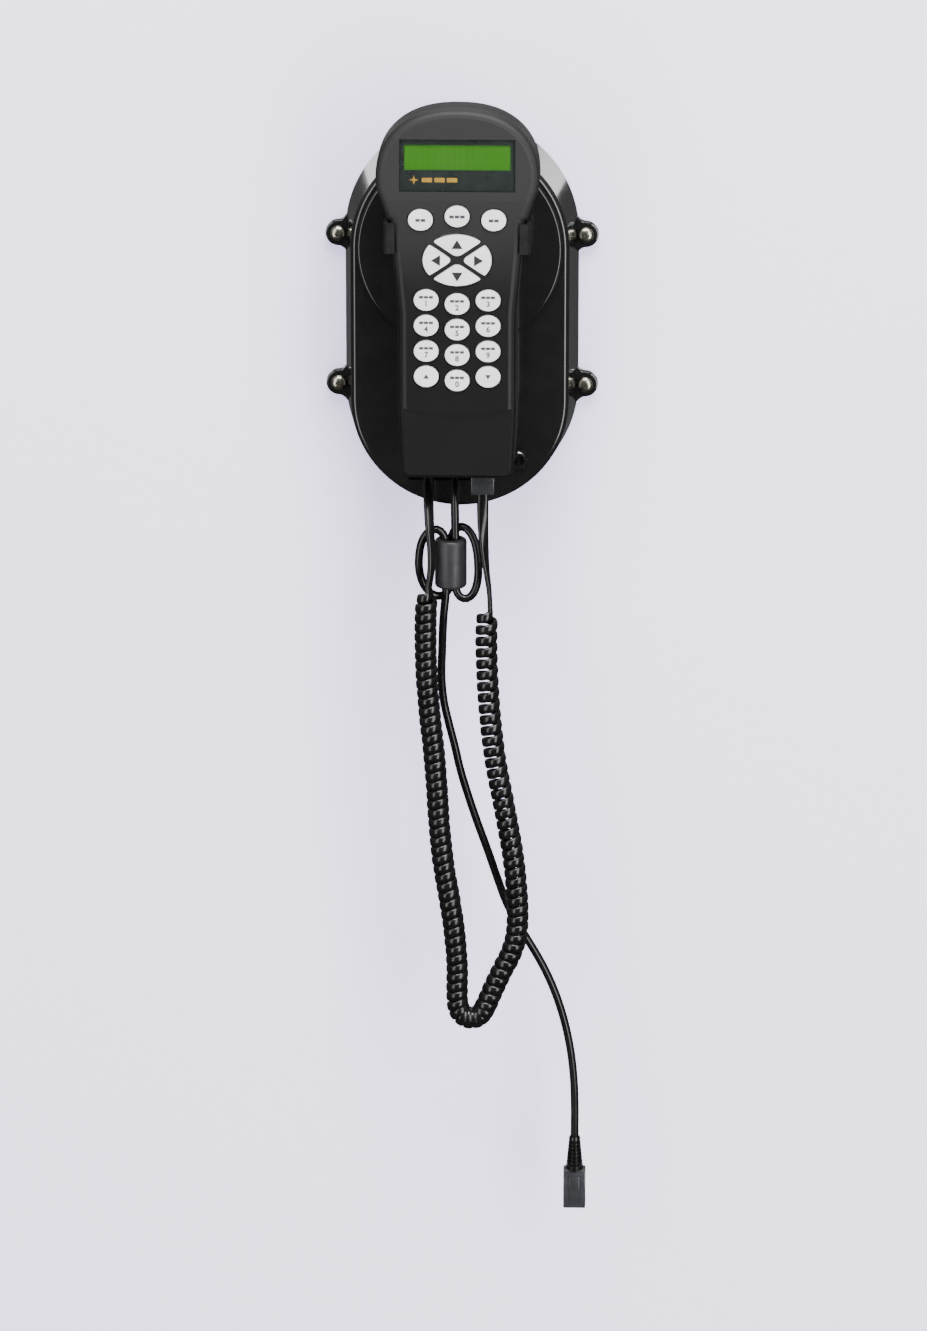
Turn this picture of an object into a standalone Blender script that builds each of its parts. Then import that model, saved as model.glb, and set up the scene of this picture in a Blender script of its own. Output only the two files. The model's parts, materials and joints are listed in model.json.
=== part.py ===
"""Hand controller of a motorised telescope: a handset with display and keypad that hangs in a clip
on an oval dock, the curly lead between the two, and the dock's drive lead with its ferrite.

Frame: metres. The wall that the dock is screwed to is the plane Y = 0, the front faces -Y, +Z is up,
and the origin is the centre of the dock's flat back.
"""

import math

import bmesh
import bpy
from mathutils import Vector

MM = 0.001
GAP = 0.3 * MM  # between pieces that touch

# ---- dock ----
DOCK_R = 60.0 * MM  # round ends of the oval outline, at the wall
DOCK_HALF_STRAIGHT = 40.0 * MM  # half the straight stretch of its sides
DOCK_DEPTH = 38.0 * MM
DOCK_DRAFT = 4.2 * MM  # how far the side walls lean in on their way to the front
DOCK_EDGE = 3.0 * MM  # rounding of the front edge
DOCK_WALL = 2.6 * MM
DRUM_R = 52.0 * MM  # round raised face over the drive, concentric with the upper end
DRUM_HEIGHT = 4.0 * MM
LUG_X = 63.5 * MM
LUG_Z = 39.5 * MM
LUG_R = 6.6 * MM
LUG_THICK = 4.0 * MM
DOCK_FRONT = -DOCK_DEPTH
DRUM_FRONT = DOCK_FRONT - DRUM_HEIGHT

# ---- recess in the dock that the two leads come out of ----
RECESS_X = (-26.0 * MM, 8.0 * MM)
RECESS_Z = (-82.0 * MM, -50.0 * MM)
RECESS_BACK = -14.0 * MM
SOCKET_Y = -26.0 * MM
LEAD_SOCKET_X = -16.0 * MM
DRIVE_SOCKET_X = -2.0 * MM
POWER_AT = (30.0 * MM, -70.0 * MM)

# ---- modular plug and socket ----
PLUG_SIZE = (11.7 * MM, 7.0 * MM, 21.5 * MM)
PLUG_IN = 10.0 * MM  # how deep a plug sits in its socket
SOCKET_SIZE = (13.4 * MM, 12.0 * MM, 15.0 * MM)

# ---- handset ----
HANDSET_BACK = DRUM_FRONT - 3.7 * MM
HANDSET_DEPTH = 30.0 * MM
HANDSET_FRONT = HANDSET_BACK - HANDSET_DEPTH
HANDSET_SPLIT = HANDSET_BACK - 14.0 * MM  # plane where the two shells meet
HANDSET_WALL = 2.2 * MM
CASE_SCREW_SEAT = HANDSET_BACK - 4.0 * MM
HANDSET_BOTTOM = -71.5 * MM
HANDSET_TOP = 118.2 * MM
HEAD_Z = 82.5 * MM  # height of the head's widest place
HEAD_HALF = 41.2 * MM
HEAD_POWER = 0.87  # below 1 makes the head squarer than an ellipse
BODY_HALF = 29.9 * MM
BOTTOM_HALF = 28.3 * MM
FRONT_EDGE = (4.2 * MM, 4.0 * MM)  # width and depth of the rounded front edge
BACK_EDGE = (4.0 * MM, 4.0 * MM)
LEAN_Z = 71.5 * MM  # the head's face leans back from this height up
LEAN = math.radians(7.0)
PORT_Y = HANDSET_BACK - 14.3 * MM
LEAD_PORT_X = 12.5 * MM

# ---- display ----
WINDOW_SIZE = (58.0 * MM, 26.2 * MM)
WINDOW_UP = 19.0 * MM  # its centre, up the leaning face from LEAN_Z
GLASS_SIZE = (53.4 * MM, 12.6 * MM)
GLASS_UP = 22.9 * MM
PANE_THICK = 1.2 * MM

# ---- keys ----
KEY_A = 6.7 * MM  # half width and half height of an oval key
KEY_B = 5.9 * MM
KEY_PROUD = 1.5 * MM
KEY_DOME = 0.5 * MM
KEY_TRAVEL_GAP = 1.2 * MM
KEY_FLANGE = 0.8 * MM
HOLE_CLEAR = 0.25 * MM
TOP_KEYS = (("key_back", -18.4, 63.2), ("key_menu", 0.0, 65.1), ("key_enter", 18.4, 63.2))
PAD_COLUMN = 15.6 * MM
PAD_ROW = 13.2 * MM
PAD_TOP = 22.0 * MM
PAD_MIDDLE_DROP = 2.0 * MM
PAD_NAMES = (
    ("key_1", "key_2", "key_3"),
    ("key_4", "key_5", "key_6"),
    ("key_7", "key_8", "key_9"),
    ("key_scroll_up", "key_0", "key_scroll_down"),
)
ARROWS_Z = 42.6 * MM
ARROWS_A = 17.6 * MM
ARROWS_B = 13.9 * MM
ARROWS_SLOT = 1.2 * MM  # half the width of the X between the four arrow keys
ARROWS_SLOPE = math.radians(34.0)

# ---- holder clip ----
CLIP_Z = (46.0 * MM, 61.5 * MM)
CLIP_X = (34.7 * MM, 36.9 * MM)
CLIP_HOOK_X = 31.4 * MM
CLIP_PLATE = 3.0 * MM

# ---- cords ----
TAIL_R = 1.6 * MM
COIL_R = 5.9 * MM
DRIVE_R = 2.0 * MM
CORE_R = 8.2 * MM
CORE_BORE = 5.6 * MM
CORE_AT = (-4.2 * MM, -49.0 * MM)
CORE_Z = (-135.6 * MM, -109.8 * MM)

DOCK_TAIL_ROUTE = (
    (-16.0, -26.0, -59.6), (-16.0, -26.1, -64.0), (-16.0, -28.9, -69.0), (-16.0, -33.4, -74.0),
    (-15.9, -38.8, -78.2), (-15.8, -44.2, -82.8), (-15.6, -49.5, -88.8), (-15.2, -53.8, -96.0),
    (-14.6, -56.5, -104.5), (-13.9, -57.8, -114.0), (-13.9, -58.3, -123.0), (-15.0, -58.2, -131.5),
    (-16.2, -58.0, -137.7),
)
HANDSET_TAIL_ROUTE = (
    (12.5, -60.0, -83.3), (12.5, -60.0, -92.0), (12.7, -59.9, -102.0), (13.3, -59.6, -113.0),
    (14.4, -59.2, -124.0), (15.8, -58.8, -135.0), (16.4, -58.5, -146.4),
)
COIL_ROUTE = (
    (-16.3, -58.0, -138.0), (-16.8, -57.9, -149.0), (-16.9, -57.7, -162.0), (-16.5, -57.4, -180.0),
    (-14.9, -57.0, -202.0), (-12.9, -56.8, -221.0), (-11.3, -56.6, -241.0), (-10.0, -56.4, -263.0),
    (-7.7, -56.3, -285.0), (-4.4, -56.2, -305.0), (-2.1, -56.2, -322.0), (-0.8, -56.2, -339.0),
    (-0.8, -56.2, -352.0), (-0.5, -56.3, -361.0), (2.0, -56.3, -366.6), (6.9, -56.4, -368.6),
    (11.6, -56.5, -366.2), (14.8, -56.6, -360.2), (18.5, -56.7, -351.2), (23.0, -56.8, -341.2),
    (27.2, -56.9, -332.6), (30.1, -57.0, -322.0), (30.8, -57.1, -309.0), (29.9, -57.2, -293.0),
    (28.1, -57.4, -277.0), (25.6, -57.6, -262.0), (22.9, -57.8, -247.0), (19.9, -58.0, -231.0),
    (17.5, -58.1, -214.0), (15.8, -58.2, -196.0), (14.8, -58.3, -178.0), (14.4, -58.4, -162.0),
    (14.6, -58.5, -147.0),
)
DRIVE_ROUTE = (
    (-2.0, -26.0, -59.6), (-2.0, -26.1, -64.0), (-2.1, -28.9, -69.0), (-2.2, -33.4, -74.0),
    (-2.3, -38.8, -78.4), (-2.3, -44.0, -84.0), (-2.2, -47.6, -91.0), (-2.0, -49.6, -99.0),
    (-1.9, -50.3, -107.0), (-1.9, -50.3, -115.0), (-1.9, -50.3, -124.0), (-1.9, -50.3, -132.0),
    (-1.3, -50.4, -137.4), (1.2, -50.7, -141.1), (4.9, -50.8, -141.2), (8.0, -50.7, -137.6),
    (9.6, -50.5, -131.8), (9.9, -50.2, -125.0), (9.3, -49.4, -117.2), (7.3, -48.0, -110.0),
    (3.8, -46.5, -105.4), (-0.2, -45.8, -104.8), (-3.2, -45.9, -107.8), (-4.2, -46.3, -113.0),
    (-4.2, -46.3, -124.0), (-4.2, -46.3, -132.0), (-5.2, -45.9, -137.8), (-9.0, -45.7, -141.6),
    (-14.0, -46.6, -140.4), (-18.2, -48.0, -135.0), (-20.4, -49.2, -127.0), (-20.4, -49.9, -118.5),
    (-18.8, -50.3, -111.0), (-15.4, -50.5, -106.0), (-11.0, -50.5, -104.9), (-7.7, -50.4, -108.0),
    (-6.5, -50.3, -114.0), (-6.5, -50.3, -124.0), (-6.5, -50.3, -133.0), (-6.9, -50.2, -141.0),
    (-7.8, -49.8, -150.0), (-8.4, -48.6, -160.0), (-8.8, -47.0, -171.0), (-9.2, -45.2, -184.0),
    (-8.2, -43.6, -198.0), (-5.6, -42.2, -211.0), (-2.6, -41.2, -223.5), (0.6, -40.4, -238.0),
    (4.8, -39.9, -252.5), (9.5, -39.6, -267.0), (14.6, -39.4, -281.5), (19.4, -39.3, -296.0),
    (24.2, -39.3, -309.6), (29.6, -39.3, -320.6), (35.4, -39.3, -330.4), (41.2, -39.4, -340.4),
    (46.6, -39.5, -351.2), (51.4, -39.6, -363.4), (55.4, -39.7, -377.0), (58.4, -39.8, -392.0),
    (60.2, -39.8, -408.0), (60.8, -39.8, -424.0), (60.8, -39.8, -440.0),
)
DRIVE_PLUG_TOP = (60.8 * MM, -39.8 * MM, -440.3 * MM)


# ---- helpers ----

def clear_scene():
    for obj in list(bpy.data.objects):
        bpy.data.objects.remove(obj, do_unlink=True)


def material(name, colour, roughness, metallic=0.0):
    made = bpy.data.materials.get(name) or bpy.data.materials.new(name)
    made.use_nodes = True
    shader = made.node_tree.nodes["Principled BSDF"]
    shader.inputs["Base Color"].default_value = (*colour, 1.0)
    shader.inputs["Roughness"].default_value = roughness
    shader.inputs["Metallic"].default_value = metallic
    made.diffuse_color = (*colour, 1.0)
    return made


def mesh_object(name, bm, finish=None, smooth_angle=35.0):
    """The bmesh as an object, its faces pointing out and its round surfaces shaded smooth."""
    bmesh.ops.recalc_face_normals(bm, faces=bm.faces)
    mesh = bpy.data.meshes.new(name)
    bm.to_mesh(mesh)
    bm.free()
    mesh.shade_smooth()
    mesh.set_sharp_from_angle(angle=math.radians(smooth_angle))
    obj = bpy.data.objects.new(name, mesh)
    bpy.context.scene.collection.objects.link(obj)
    if finish:
        mesh.materials.append(finish)
    return obj


def hide_cutter(obj):
    obj.hide_render = True
    obj.display_type = "WIRE"
    return obj


def boolean(target, tool, operation):
    """Cuts target with tool, or joins tool to it. The tool is hidden."""
    hide_cutter(tool)
    modifier = target.modifiers.new(f"{operation.lower()} {tool.name}", "BOOLEAN")
    modifier.operation = operation
    modifier.solver = "EXACT"
    modifier.object = tool
    return target


def add_box(bm, low, high):
    corners = [(x, y, z) for x in (low[0], high[0]) for y in (low[1], high[1]) for z in (low[2], high[2])]
    verts = [bm.verts.new(c) for c in corners]
    for face in ((0, 1, 3, 2), (4, 6, 7, 5), (0, 4, 5, 1), (2, 3, 7, 6), (0, 2, 6, 4), (1, 5, 7, 3)):
        bm.faces.new([verts[i] for i in face])


def box_object(name, low, high, finish=None, bevel=0.0):
    bm = bmesh.new()
    add_box(bm, low, high)
    if bevel:
        bmesh.ops.bevel(bm, geom=list(bm.edges), offset=bevel, segments=1, affect="EDGES")
    return mesh_object(name, bm, finish)


def bridge(bm, loops):
    """Walls between each loop of points and the next, every loop with the same number of points."""
    rows = [[bm.verts.new(p) for p in loop] for loop in loops]
    for one, two in zip(rows, rows[1:]):
        for i in range(len(one)):
            j = (i + 1) % len(one)
            bm.faces.new((one[i], one[j], two[j], two[i]))
    return rows


def add_prism(bm, outline, y_from, y_to):
    """A closed solid: outline is a loop of (x, z) points, carried along Y."""
    rows = bridge(bm, [[(x, y, z) for x, z in outline] for y in (y_from, y_to)])
    bm.faces.new(rows[0])
    bm.faces.new(list(reversed(rows[1])))


def stepped_prism(name, layers, finish):
    """A closed solid from (outline, y) layers whose outlines have the same number of points."""
    bm = bmesh.new()
    rows = bridge(bm, [[(x, y, z) for x, z in outline] for outline, y in layers])
    bm.faces.new(rows[0])
    bm.faces.new(list(reversed(rows[-1])))
    return mesh_object(name, bm, finish)


def oval(a, b, x=0.0, z=0.0, sides=24):
    turn = 2 * math.pi / sides
    return [(x + a * math.cos(i * turn), z + b * math.sin(i * turn)) for i in range(sides)]


def stadium(radius, half_straight, sides=48):
    """Two half circles and two straight sides, as (x, z) points, with no point on the centre line."""
    points = []
    for i in range(sides):
        angle = 2 * math.pi * (i + 0.5) / sides
        shift = half_straight if math.sin(angle) > 0 else -half_straight
        points.append((radius * math.cos(angle), radius * math.sin(angle) + shift))
    return points


def turned(name, profile, finish, sides=20):
    """A solid turned about Y: profile is (radius, y) points, its ends closed by flat faces."""
    layers = [(oval(radius, radius, sides=sides), y) for radius, y in profile]
    return stepped_prism(name, layers, finish)


def add_turned(bm, x, z, profile, sides):
    """A closed body turned about an axis along Y through (x, z): profile is (radius, y) points."""
    rows = bridge(bm, [[(px, y, pz) for px, pz in oval(r, r, x, z, sides)] for r, y in profile])
    bm.faces.new(rows[0])
    bm.faces.new(list(reversed(rows[-1])))


def smooth_route(points, spacing):
    """Points about spacing apart on a smooth curve through the given points, in metres."""
    route = [Vector(p) * MM for p in points]
    ends = [2 * route[0] - route[1]] + route + [2 * route[-1] - route[-2]]
    fine = []
    for i in range(1, len(ends) - 2):
        before, start, end, after = ends[i - 1:i + 3]
        for step in range(24):
            t = step / 24
            fine.append(0.5 * (2 * start + (end - before) * t
                               + (2 * before - 5 * start + 4 * end - after) * t * t
                               + (3 * start - before - 3 * end + after) * t ** 3))
    fine.append(route[-1])
    lengths = [0.0]
    for one, two in zip(fine, fine[1:]):
        lengths.append(lengths[-1] + (two - one).length)
    count = max(2, round(lengths[-1] / spacing))
    made, at = [], 0
    for i in range(count + 1):
        wanted = lengths[-1] * i / count
        while at < len(fine) - 2 and lengths[at + 1] < wanted:
            at += 1
        share = (wanted - lengths[at]) / max(lengths[at + 1] - lengths[at], 1e-9)
        made.append(fine[at].lerp(fine[at + 1], share))
    return made


def tube(name, route, radius, spacing, resolution, finish):
    curve = bpy.data.curves.new(name, "CURVE")
    curve.dimensions = "3D"
    points = smooth_route(route, spacing)
    spline = curve.splines.new("POLY")
    spline.points.add(len(points) - 1)
    for target, point in zip(spline.points, points):
        target.co = (*point, 1.0)
    curve.bevel_depth = radius
    curve.bevel_resolution = resolution
    curve.use_fill_caps = True
    curve.materials.append(finish)
    obj = bpy.data.objects.new(name, curve)
    bpy.context.scene.collection.objects.link(obj)
    return obj


# ---- dock ----

def dock_cover(plastic):
    """Drafted shell with a rounded front edge, a drum face, four lugs and the lead recess."""
    lean = DOCK_R - DOCK_DRAFT
    outer = [(DOCK_R, 0.0), (lean, DOCK_FRONT + DOCK_EDGE)]
    for turn in (30.0, 60.0, 90.0):
        a = math.radians(turn)
        outer.append((lean - DOCK_EDGE * (1 - math.cos(a)), DOCK_FRONT + DOCK_EDGE * (1 - math.sin(a))))
    ceiling = DOCK_FRONT + DOCK_WALL
    inner = [(lean - DOCK_EDGE, ceiling), (lean - DOCK_WALL, ceiling + DOCK_EDGE),
             (DOCK_R - DOCK_WALL, 0.0)]
    bm = bmesh.new()
    loops = [[(x, y, z) for x, z in stadium(r, DOCK_HALF_STRAIGHT)] for r, y in outer]
    rows = bridge(bm, loops)
    bm.faces.new(list(reversed(rows[-1])))
    inner_rows = bridge(bm, [[(x, y, z) for x, z in stadium(r, DOCK_HALF_STRAIGHT)] for r, y in inner])
    bm.faces.new(inner_rows[0])
    for i in range(len(rows[0])):
        j = (i + 1) % len(rows[0])
        bm.faces.new((inner_rows[-1][i], inner_rows[-1][j], rows[0][j], rows[0][i]))
    cover = mesh_object("dock_cover", bm, plastic)

    drum_layers = [
        (oval(DRUM_R, DRUM_R, 0.0, DOCK_HALF_STRAIGHT, 48), DOCK_FRONT + 1.5 * MM),
        (oval(DRUM_R, DRUM_R, 0.0, DOCK_HALF_STRAIGHT, 48), DRUM_FRONT + 1.2 * MM),
        (oval(DRUM_R - 0.5 * MM, DRUM_R - 0.5 * MM, 0.0, DOCK_HALF_STRAIGHT, 48), DRUM_FRONT + 0.4 * MM),
        (oval(DRUM_R - 1.6 * MM, DRUM_R - 1.6 * MM, 0.0, DOCK_HALF_STRAIGHT, 48), DRUM_FRONT),
    ]
    boolean(cover, stepped_prism("cover_drum", drum_layers, None), "UNION")
    boolean(cover, dock_lugs(), "UNION")

    wall = 2.0 * MM
    sleeve = box_object(
        "cover_recess_walls",
        (RECESS_X[0] - wall, DOCK_FRONT + 1.0 * MM, RECESS_Z[0] - wall),
        (RECESS_X[1] + wall, RECESS_BACK + wall, RECESS_Z[1] + wall),
    )
    boolean(cover, sleeve, "UNION")
    boolean(cover, dock_cuts(), "DIFFERENCE")
    return cover


def dock_lugs():
    bm = bmesh.new()
    for side in (-1, 1):
        for level in (-1, 1):
            x, z = side * LUG_X, level * LUG_Z
            root = side * (DOCK_R - 1.5 * MM)
            count = 9
            outline = [(root, z - 9.5 * MM * side)]
            for i in range(count):
                angle = math.radians(-78.0 + 156.0 * i / (count - 1))
                outline.append((x + side * LUG_R * math.cos(angle), z + side * LUG_R * math.sin(angle)))
            outline.append((root, z + 9.5 * MM * side))
            add_prism(bm, outline, 0.0, -LUG_THICK)
    return mesh_object("cover_lugs", bm)


def dock_cuts():
    """The recess's hollow and the holes for the sockets, the lug screws, the power socket and the clip."""
    bm = bmesh.new()
    add_box(bm, (RECESS_X[0], DRUM_FRONT - 2 * MM, RECESS_Z[0]), (RECESS_X[1], RECESS_BACK, RECESS_Z[1]))
    for side in (-1, 1):
        for level in (-1, 1):
            add_prism(bm, oval(2.3 * MM, 2.3 * MM, side * LUG_X, level * LUG_Z, 12), 1 * MM, -6 * MM)
    add_prism(bm, oval(4.3 * MM, 4.3 * MM, *POWER_AT, 16), DOCK_FRONT - 1 * MM, DOCK_FRONT + 4 * MM)
    for z in clip_screw_heights():
        add_prism(bm, oval(1.8 * MM, 1.8 * MM, 0.0, z, 12), DRUM_FRONT - 1 * MM, DOCK_FRONT + 4 * MM)
    cuts = mesh_object("cover_cuts", bm)
    mouths = bmesh.new()
    for x in (LEAD_SOCKET_X, DRIVE_SOCKET_X):
        half = SOCKET_SIZE[0] / 2 - 0.8 * MM
        add_box(mouths, (x - half, SOCKET_Y - 5.2 * MM, RECESS_Z[1] - 1 * MM),
                (x + half, SOCKET_Y + 5.2 * MM, RECESS_Z[1] + 3 * MM))
    boolean(cuts, mesh_object("cover_mouths", mouths), "UNION")
    return cuts


def clip_screw_heights():
    return (30.0 * MM, 66.0 * MM)


def dock_back_plate(metal):
    radius = DOCK_R - DOCK_WALL - 0.8 * MM
    bm = bmesh.new()
    add_prism(bm, stadium(radius, DOCK_HALF_STRAIGHT), 0.0, -2.5 * MM)
    return mesh_object("dock_back_plate", bm, metal)


def dock_screw(number, x, z, steel):
    """Domed screw whose shank ends at the wall."""
    profile = [(1.9 * MM, -0.2 * MM), (1.9 * MM, -LUG_THICK - GAP), (4.1 * MM, -LUG_THICK - GAP),
               (4.1 * MM, -LUG_THICK - 1.2 * MM), (3.5 * MM, -LUG_THICK - 2.2 * MM),
               (2.3 * MM, -LUG_THICK - 2.9 * MM), (0.9 * MM, -LUG_THICK - 3.2 * MM)]
    screw = turned(f"dock_screw_{number}", profile, steel, sides=16)
    screw.location = (x, 0.0, z)
    return screw


def socket(name, x, y, mouth_z, plastic):
    """Modular socket, open at its lower end, with 0.4 mm of room round the plug."""
    width, depth, height = SOCKET_SIZE
    body = box_object(name, (x - width / 2, y - depth / 2, mouth_z),
                      (x + width / 2, y + depth / 2, mouth_z + height), plastic)
    half_x, half_y = PLUG_SIZE[0] / 2 + 0.35 * MM, PLUG_SIZE[1] / 2 + 1.2 * MM
    hollow = box_object(f"{name}_hollow", (x - half_x, y - half_y, mouth_z - 1 * MM),
                        (x + half_x, y + half_y, mouth_z + PLUG_IN + 1.5 * MM))
    return boolean(body, hollow, "DIFFERENCE")


def modular_plug(name, x, y, mouth_z, latch_side, plastic):
    """Modular plug, seated in a socket whose mouth is at mouth_z, its latch on the given side in Y."""
    width, depth, length = PLUG_SIZE
    top, bottom = mouth_z + PLUG_IN, mouth_z + PLUG_IN - length
    body = box_object(name, (x - width / 2, y - depth / 2, bottom), (x + width / 2, y + depth / 2, top),
                      plastic, bevel=0.5 * MM)
    bm = bmesh.new()
    root, tip = y + latch_side * (depth / 2 - 0.6 * MM), y + latch_side * (depth / 2 + 1.0 * MM)
    half = 3.0 * MM
    low, high = min(root, tip), max(root, tip)
    add_box(bm, (x - half, low, bottom + 4 * MM), (x + half, high, top - 1.5 * MM))
    return boolean(body, mesh_object(f"{name}_latch", bm), "UNION")


def holder_clip(plastic):
    """Plate on the drum with two hooked arms that the handset's shoulders rest on."""
    back = DRUM_FRONT - GAP
    front = back - CLIP_PLATE
    bm = bmesh.new()
    add_box(bm, (-26 * MM, front, 22 * MM), (26 * MM, back, 74 * MM))
    clip = mesh_object("holder_clip", bm, plastic)
    arms = bmesh.new()
    hook = HANDSET_FRONT + GAP
    for side in (-1, 1):
        outline = [(20.0 * MM, back), (CLIP_X[1] - 2 * MM, back), (CLIP_X[1], back - 2 * MM),
                   (CLIP_X[1], hook - 0.6 * MM), (CLIP_X[1] - 1.4 * MM, hook - 2.0 * MM),
                   (CLIP_HOOK_X, hook - 2.0 * MM), (CLIP_HOOK_X, hook), (CLIP_X[0], hook),
                   (CLIP_X[0], front), (20.0 * MM, front)]
        rows = bridge(arms, [[(side * x, y, z) for x, y in outline] for z in CLIP_Z])
        arms.faces.new(rows[0])
        arms.faces.new(list(reversed(rows[1])))
    boolean(clip, mesh_object("clip_arms", arms), "UNION")
    holes = bmesh.new()
    seat = front + 1.6 * MM
    for z in clip_screw_heights():
        add_turned(holes, 0.0, z, ((1.8 * MM, back + 1 * MM), (1.8 * MM, seat), (3.4 * MM, seat),
                                   (3.4 * MM, front - 1 * MM)), 12)
    return boolean(clip, mesh_object("clip_screw_holes", holes), "DIFFERENCE")


def clip_screw(number, z, steel):
    front = DRUM_FRONT - GAP - CLIP_PLATE
    profile = [(1.5 * MM, DOCK_FRONT + 6 * MM), (1.5 * MM, front + 1.3 * MM), (3.0 * MM, front + 1.3 * MM),
               (3.0 * MM, front + 0.5 * MM), (2.2 * MM, front + 0.2 * MM)]
    screw = turned(f"clip_screw_{number}", profile, steel, sides=12)
    screw.location.z = z
    return screw


def power_socket(metal):
    """Threaded barrel with its nut, open at the front."""
    x, z = POWER_AT
    nut = DOCK_FRONT - GAP
    thread, bore, across, mouth = 4.0 * MM, 3.1 * MM, 5.6 * MM, nut - 3.9 * MM
    profile = [(thread, DOCK_FRONT + 9 * MM), (thread, nut), (across, nut), (across, nut - 1.8 * MM),
               (thread, nut - 1.9 * MM), (thread, mouth), (bore, mouth), (bore, DOCK_FRONT + 6 * MM)]
    barrel = turned("power_socket", profile, metal, sides=16)
    barrel.location = (x, 0.0, z)
    return barrel


# ---- handset ----

def handset_half_outline():
    """Right half of the silhouette, from the bottom corner up to the top, as (half width, z) points."""
    corner = 4.0 * MM
    points = []
    for i in range(4):
        angle = math.radians(-90 + 30 * i)
        points.append((BOTTOM_HALF - corner + corner * math.cos(angle),
                       HANDSET_BOTTOM + corner + corner * math.sin(angle)))
    points += [(BODY_HALF, -36.0 * MM), (BODY_HALF, 14.5 * MM), (34.0 * MM, CLIP_Z[1] + GAP),
               (35.5 * MM, CLIP_Z[1] + 1.9 * MM), (38.2 * MM, LEAN_Z), (40.3 * MM, 77.0 * MM)]
    steps = 15
    for i in range(steps + 1):
        angle = math.radians(87.0 * i / steps)
        points.append((HEAD_HALF * math.cos(angle) ** HEAD_POWER,
                       HEAD_Z + (HANDSET_TOP - HEAD_Z) * math.sin(angle) ** HEAD_POWER))
    return points


def inset_half(points, inset):
    """The half outline moved inwards by inset, each point along its own normal."""
    made = []
    for i, (x, z) in enumerate(points):
        before = points[i - 1] if i else (-points[0][0], z)
        after = points[i + 1] if i + 1 < len(points) else (-points[-1][0], z)
        dx1, dz1 = x - before[0], z - before[1]
        dx2, dz2 = after[0] - x, after[1] - z
        one, two = math.hypot(dx1, dz1), math.hypot(dx2, dz2)
        nx, nz = -(dz1 / one + dz2 / two), dx1 / one + dx2 / two
        size = math.hypot(nx, nz)
        cosine = size / 2
        made.append((x + nx / size * inset / cosine, z + nz / size * inset / cosine))
    return made


def lean_at(z):
    return max(0.0, z - LEAN_Z) * math.tan(LEAN)


def handset_loop(inset, y, leaning):
    """Closed loop of points round the handset: up its right side, then down its left."""
    half = inset_half(handset_half_outline(), inset)
    right = [(x, y + (lean_at(z) if leaning else 0.0), z) for x, z in half]
    left = [(-x, level, z) for x, level, z in reversed(right)]
    return right + left


def cap_rows(bm, row):
    """Closes a handset loop with one strip across at each height, so a leaning face stays true."""
    count = len(row)
    for i in range(count // 2 - 1):
        bm.faces.new((row[i], row[i + 1], row[count - 2 - i], row[count - 1 - i]))


def shell(name, outer, inner, plastic):
    """A tray: outer loops from the rim to the face, and inner loops from the rim to the face's inside."""
    bm = bmesh.new()
    outside = bridge(bm, outer)
    inside = bridge(bm, inner)
    cap_rows(bm, outside[-1])
    cap_rows(bm, inside[-1])
    count = len(outside[0])
    for i in range(count):
        j = (i + 1) % count
        bm.faces.new((outside[0][i], outside[0][j], inside[0][j], inside[0][i]))
    return mesh_object(name, bm, plastic, smooth_angle=30.0)


def edge_loops(face, direction, edge, leaning, steps=4):
    """Loops of a rounded edge that ends at the face. direction is +1 where the case lies behind it."""
    loops = []
    for i in range(steps + 1):
        angle = math.radians(90.0 * i / steps)
        inset = edge[0] * (1 - math.cos(angle))
        depth = edge[1] * (1 - math.sin(angle))
        loops.append(handset_loop(inset, face + direction * depth, leaning))
    return loops


def front_shell(plastic):
    outer = [handset_loop(0.0, HANDSET_SPLIT - GAP, False)]
    outer += edge_loops(HANDSET_FRONT, 1, FRONT_EDGE, True)
    inner = [
        handset_loop(HANDSET_WALL, HANDSET_SPLIT - GAP, False),
        handset_loop(HANDSET_WALL, HANDSET_FRONT + HANDSET_WALL + 2.6 * MM, True),
        handset_loop(HANDSET_WALL + 2.6 * MM, HANDSET_FRONT + HANDSET_WALL, True),
    ]
    case = shell("front_shell", outer, inner, plastic)
    bosses = shell_bosses("front_bosses", HANDSET_FRONT + 1.2 * MM, HANDSET_SPLIT - GAP, True)
    boolean(case, bosses, "UNION")
    boolean(case, front_cuts(), "DIFFERENCE")
    boolean(case, window_cutter(), "DIFFERENCE")
    boolean(case, step_cutter(), "DIFFERENCE")
    return case


def rear_shell(plastic):
    outer = [handset_loop(0.0, HANDSET_SPLIT, False)]
    outer += edge_loops(HANDSET_BACK, -1, BACK_EDGE, False, steps=3)
    inner = [
        handset_loop(HANDSET_WALL, HANDSET_SPLIT, False),
        handset_loop(HANDSET_WALL, HANDSET_BACK - HANDSET_WALL - 2.6 * MM, False),
        handset_loop(HANDSET_WALL + 2.6 * MM, HANDSET_BACK - HANDSET_WALL, False),
    ]
    case = shell("rear_shell", outer, inner, plastic)
    boolean(case, shell_bosses("rear_bosses", HANDSET_BACK - 1.2 * MM, HANDSET_SPLIT, False), "UNION")
    boolean(case, rear_cuts(), "DIFFERENCE")
    return case


def case_screw_places():
    return [(side * x, z) for x, z in ((23.4 * MM, -60.0 * MM), (32.6 * MM, 85.0 * MM)) for side in (-1, 1)]


def shell_bosses(name, face, rim, leaning):
    bm = bmesh.new()
    for x, z in case_screw_places():
        start = face + (lean_at(z) if leaning else 0.0)
        add_prism(bm, oval(3.2 * MM, 3.2 * MM, x, z, 12), start, rim)
    return mesh_object(name, bm)


def port_boxes():
    """Openings in the case's bottom wall, as (centre x, width)."""
    return ((LEAD_PORT_X, 14.0 * MM), (-2.0 * MM, 10.4 * MM), (-14.0 * MM, 9.4 * MM))


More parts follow.
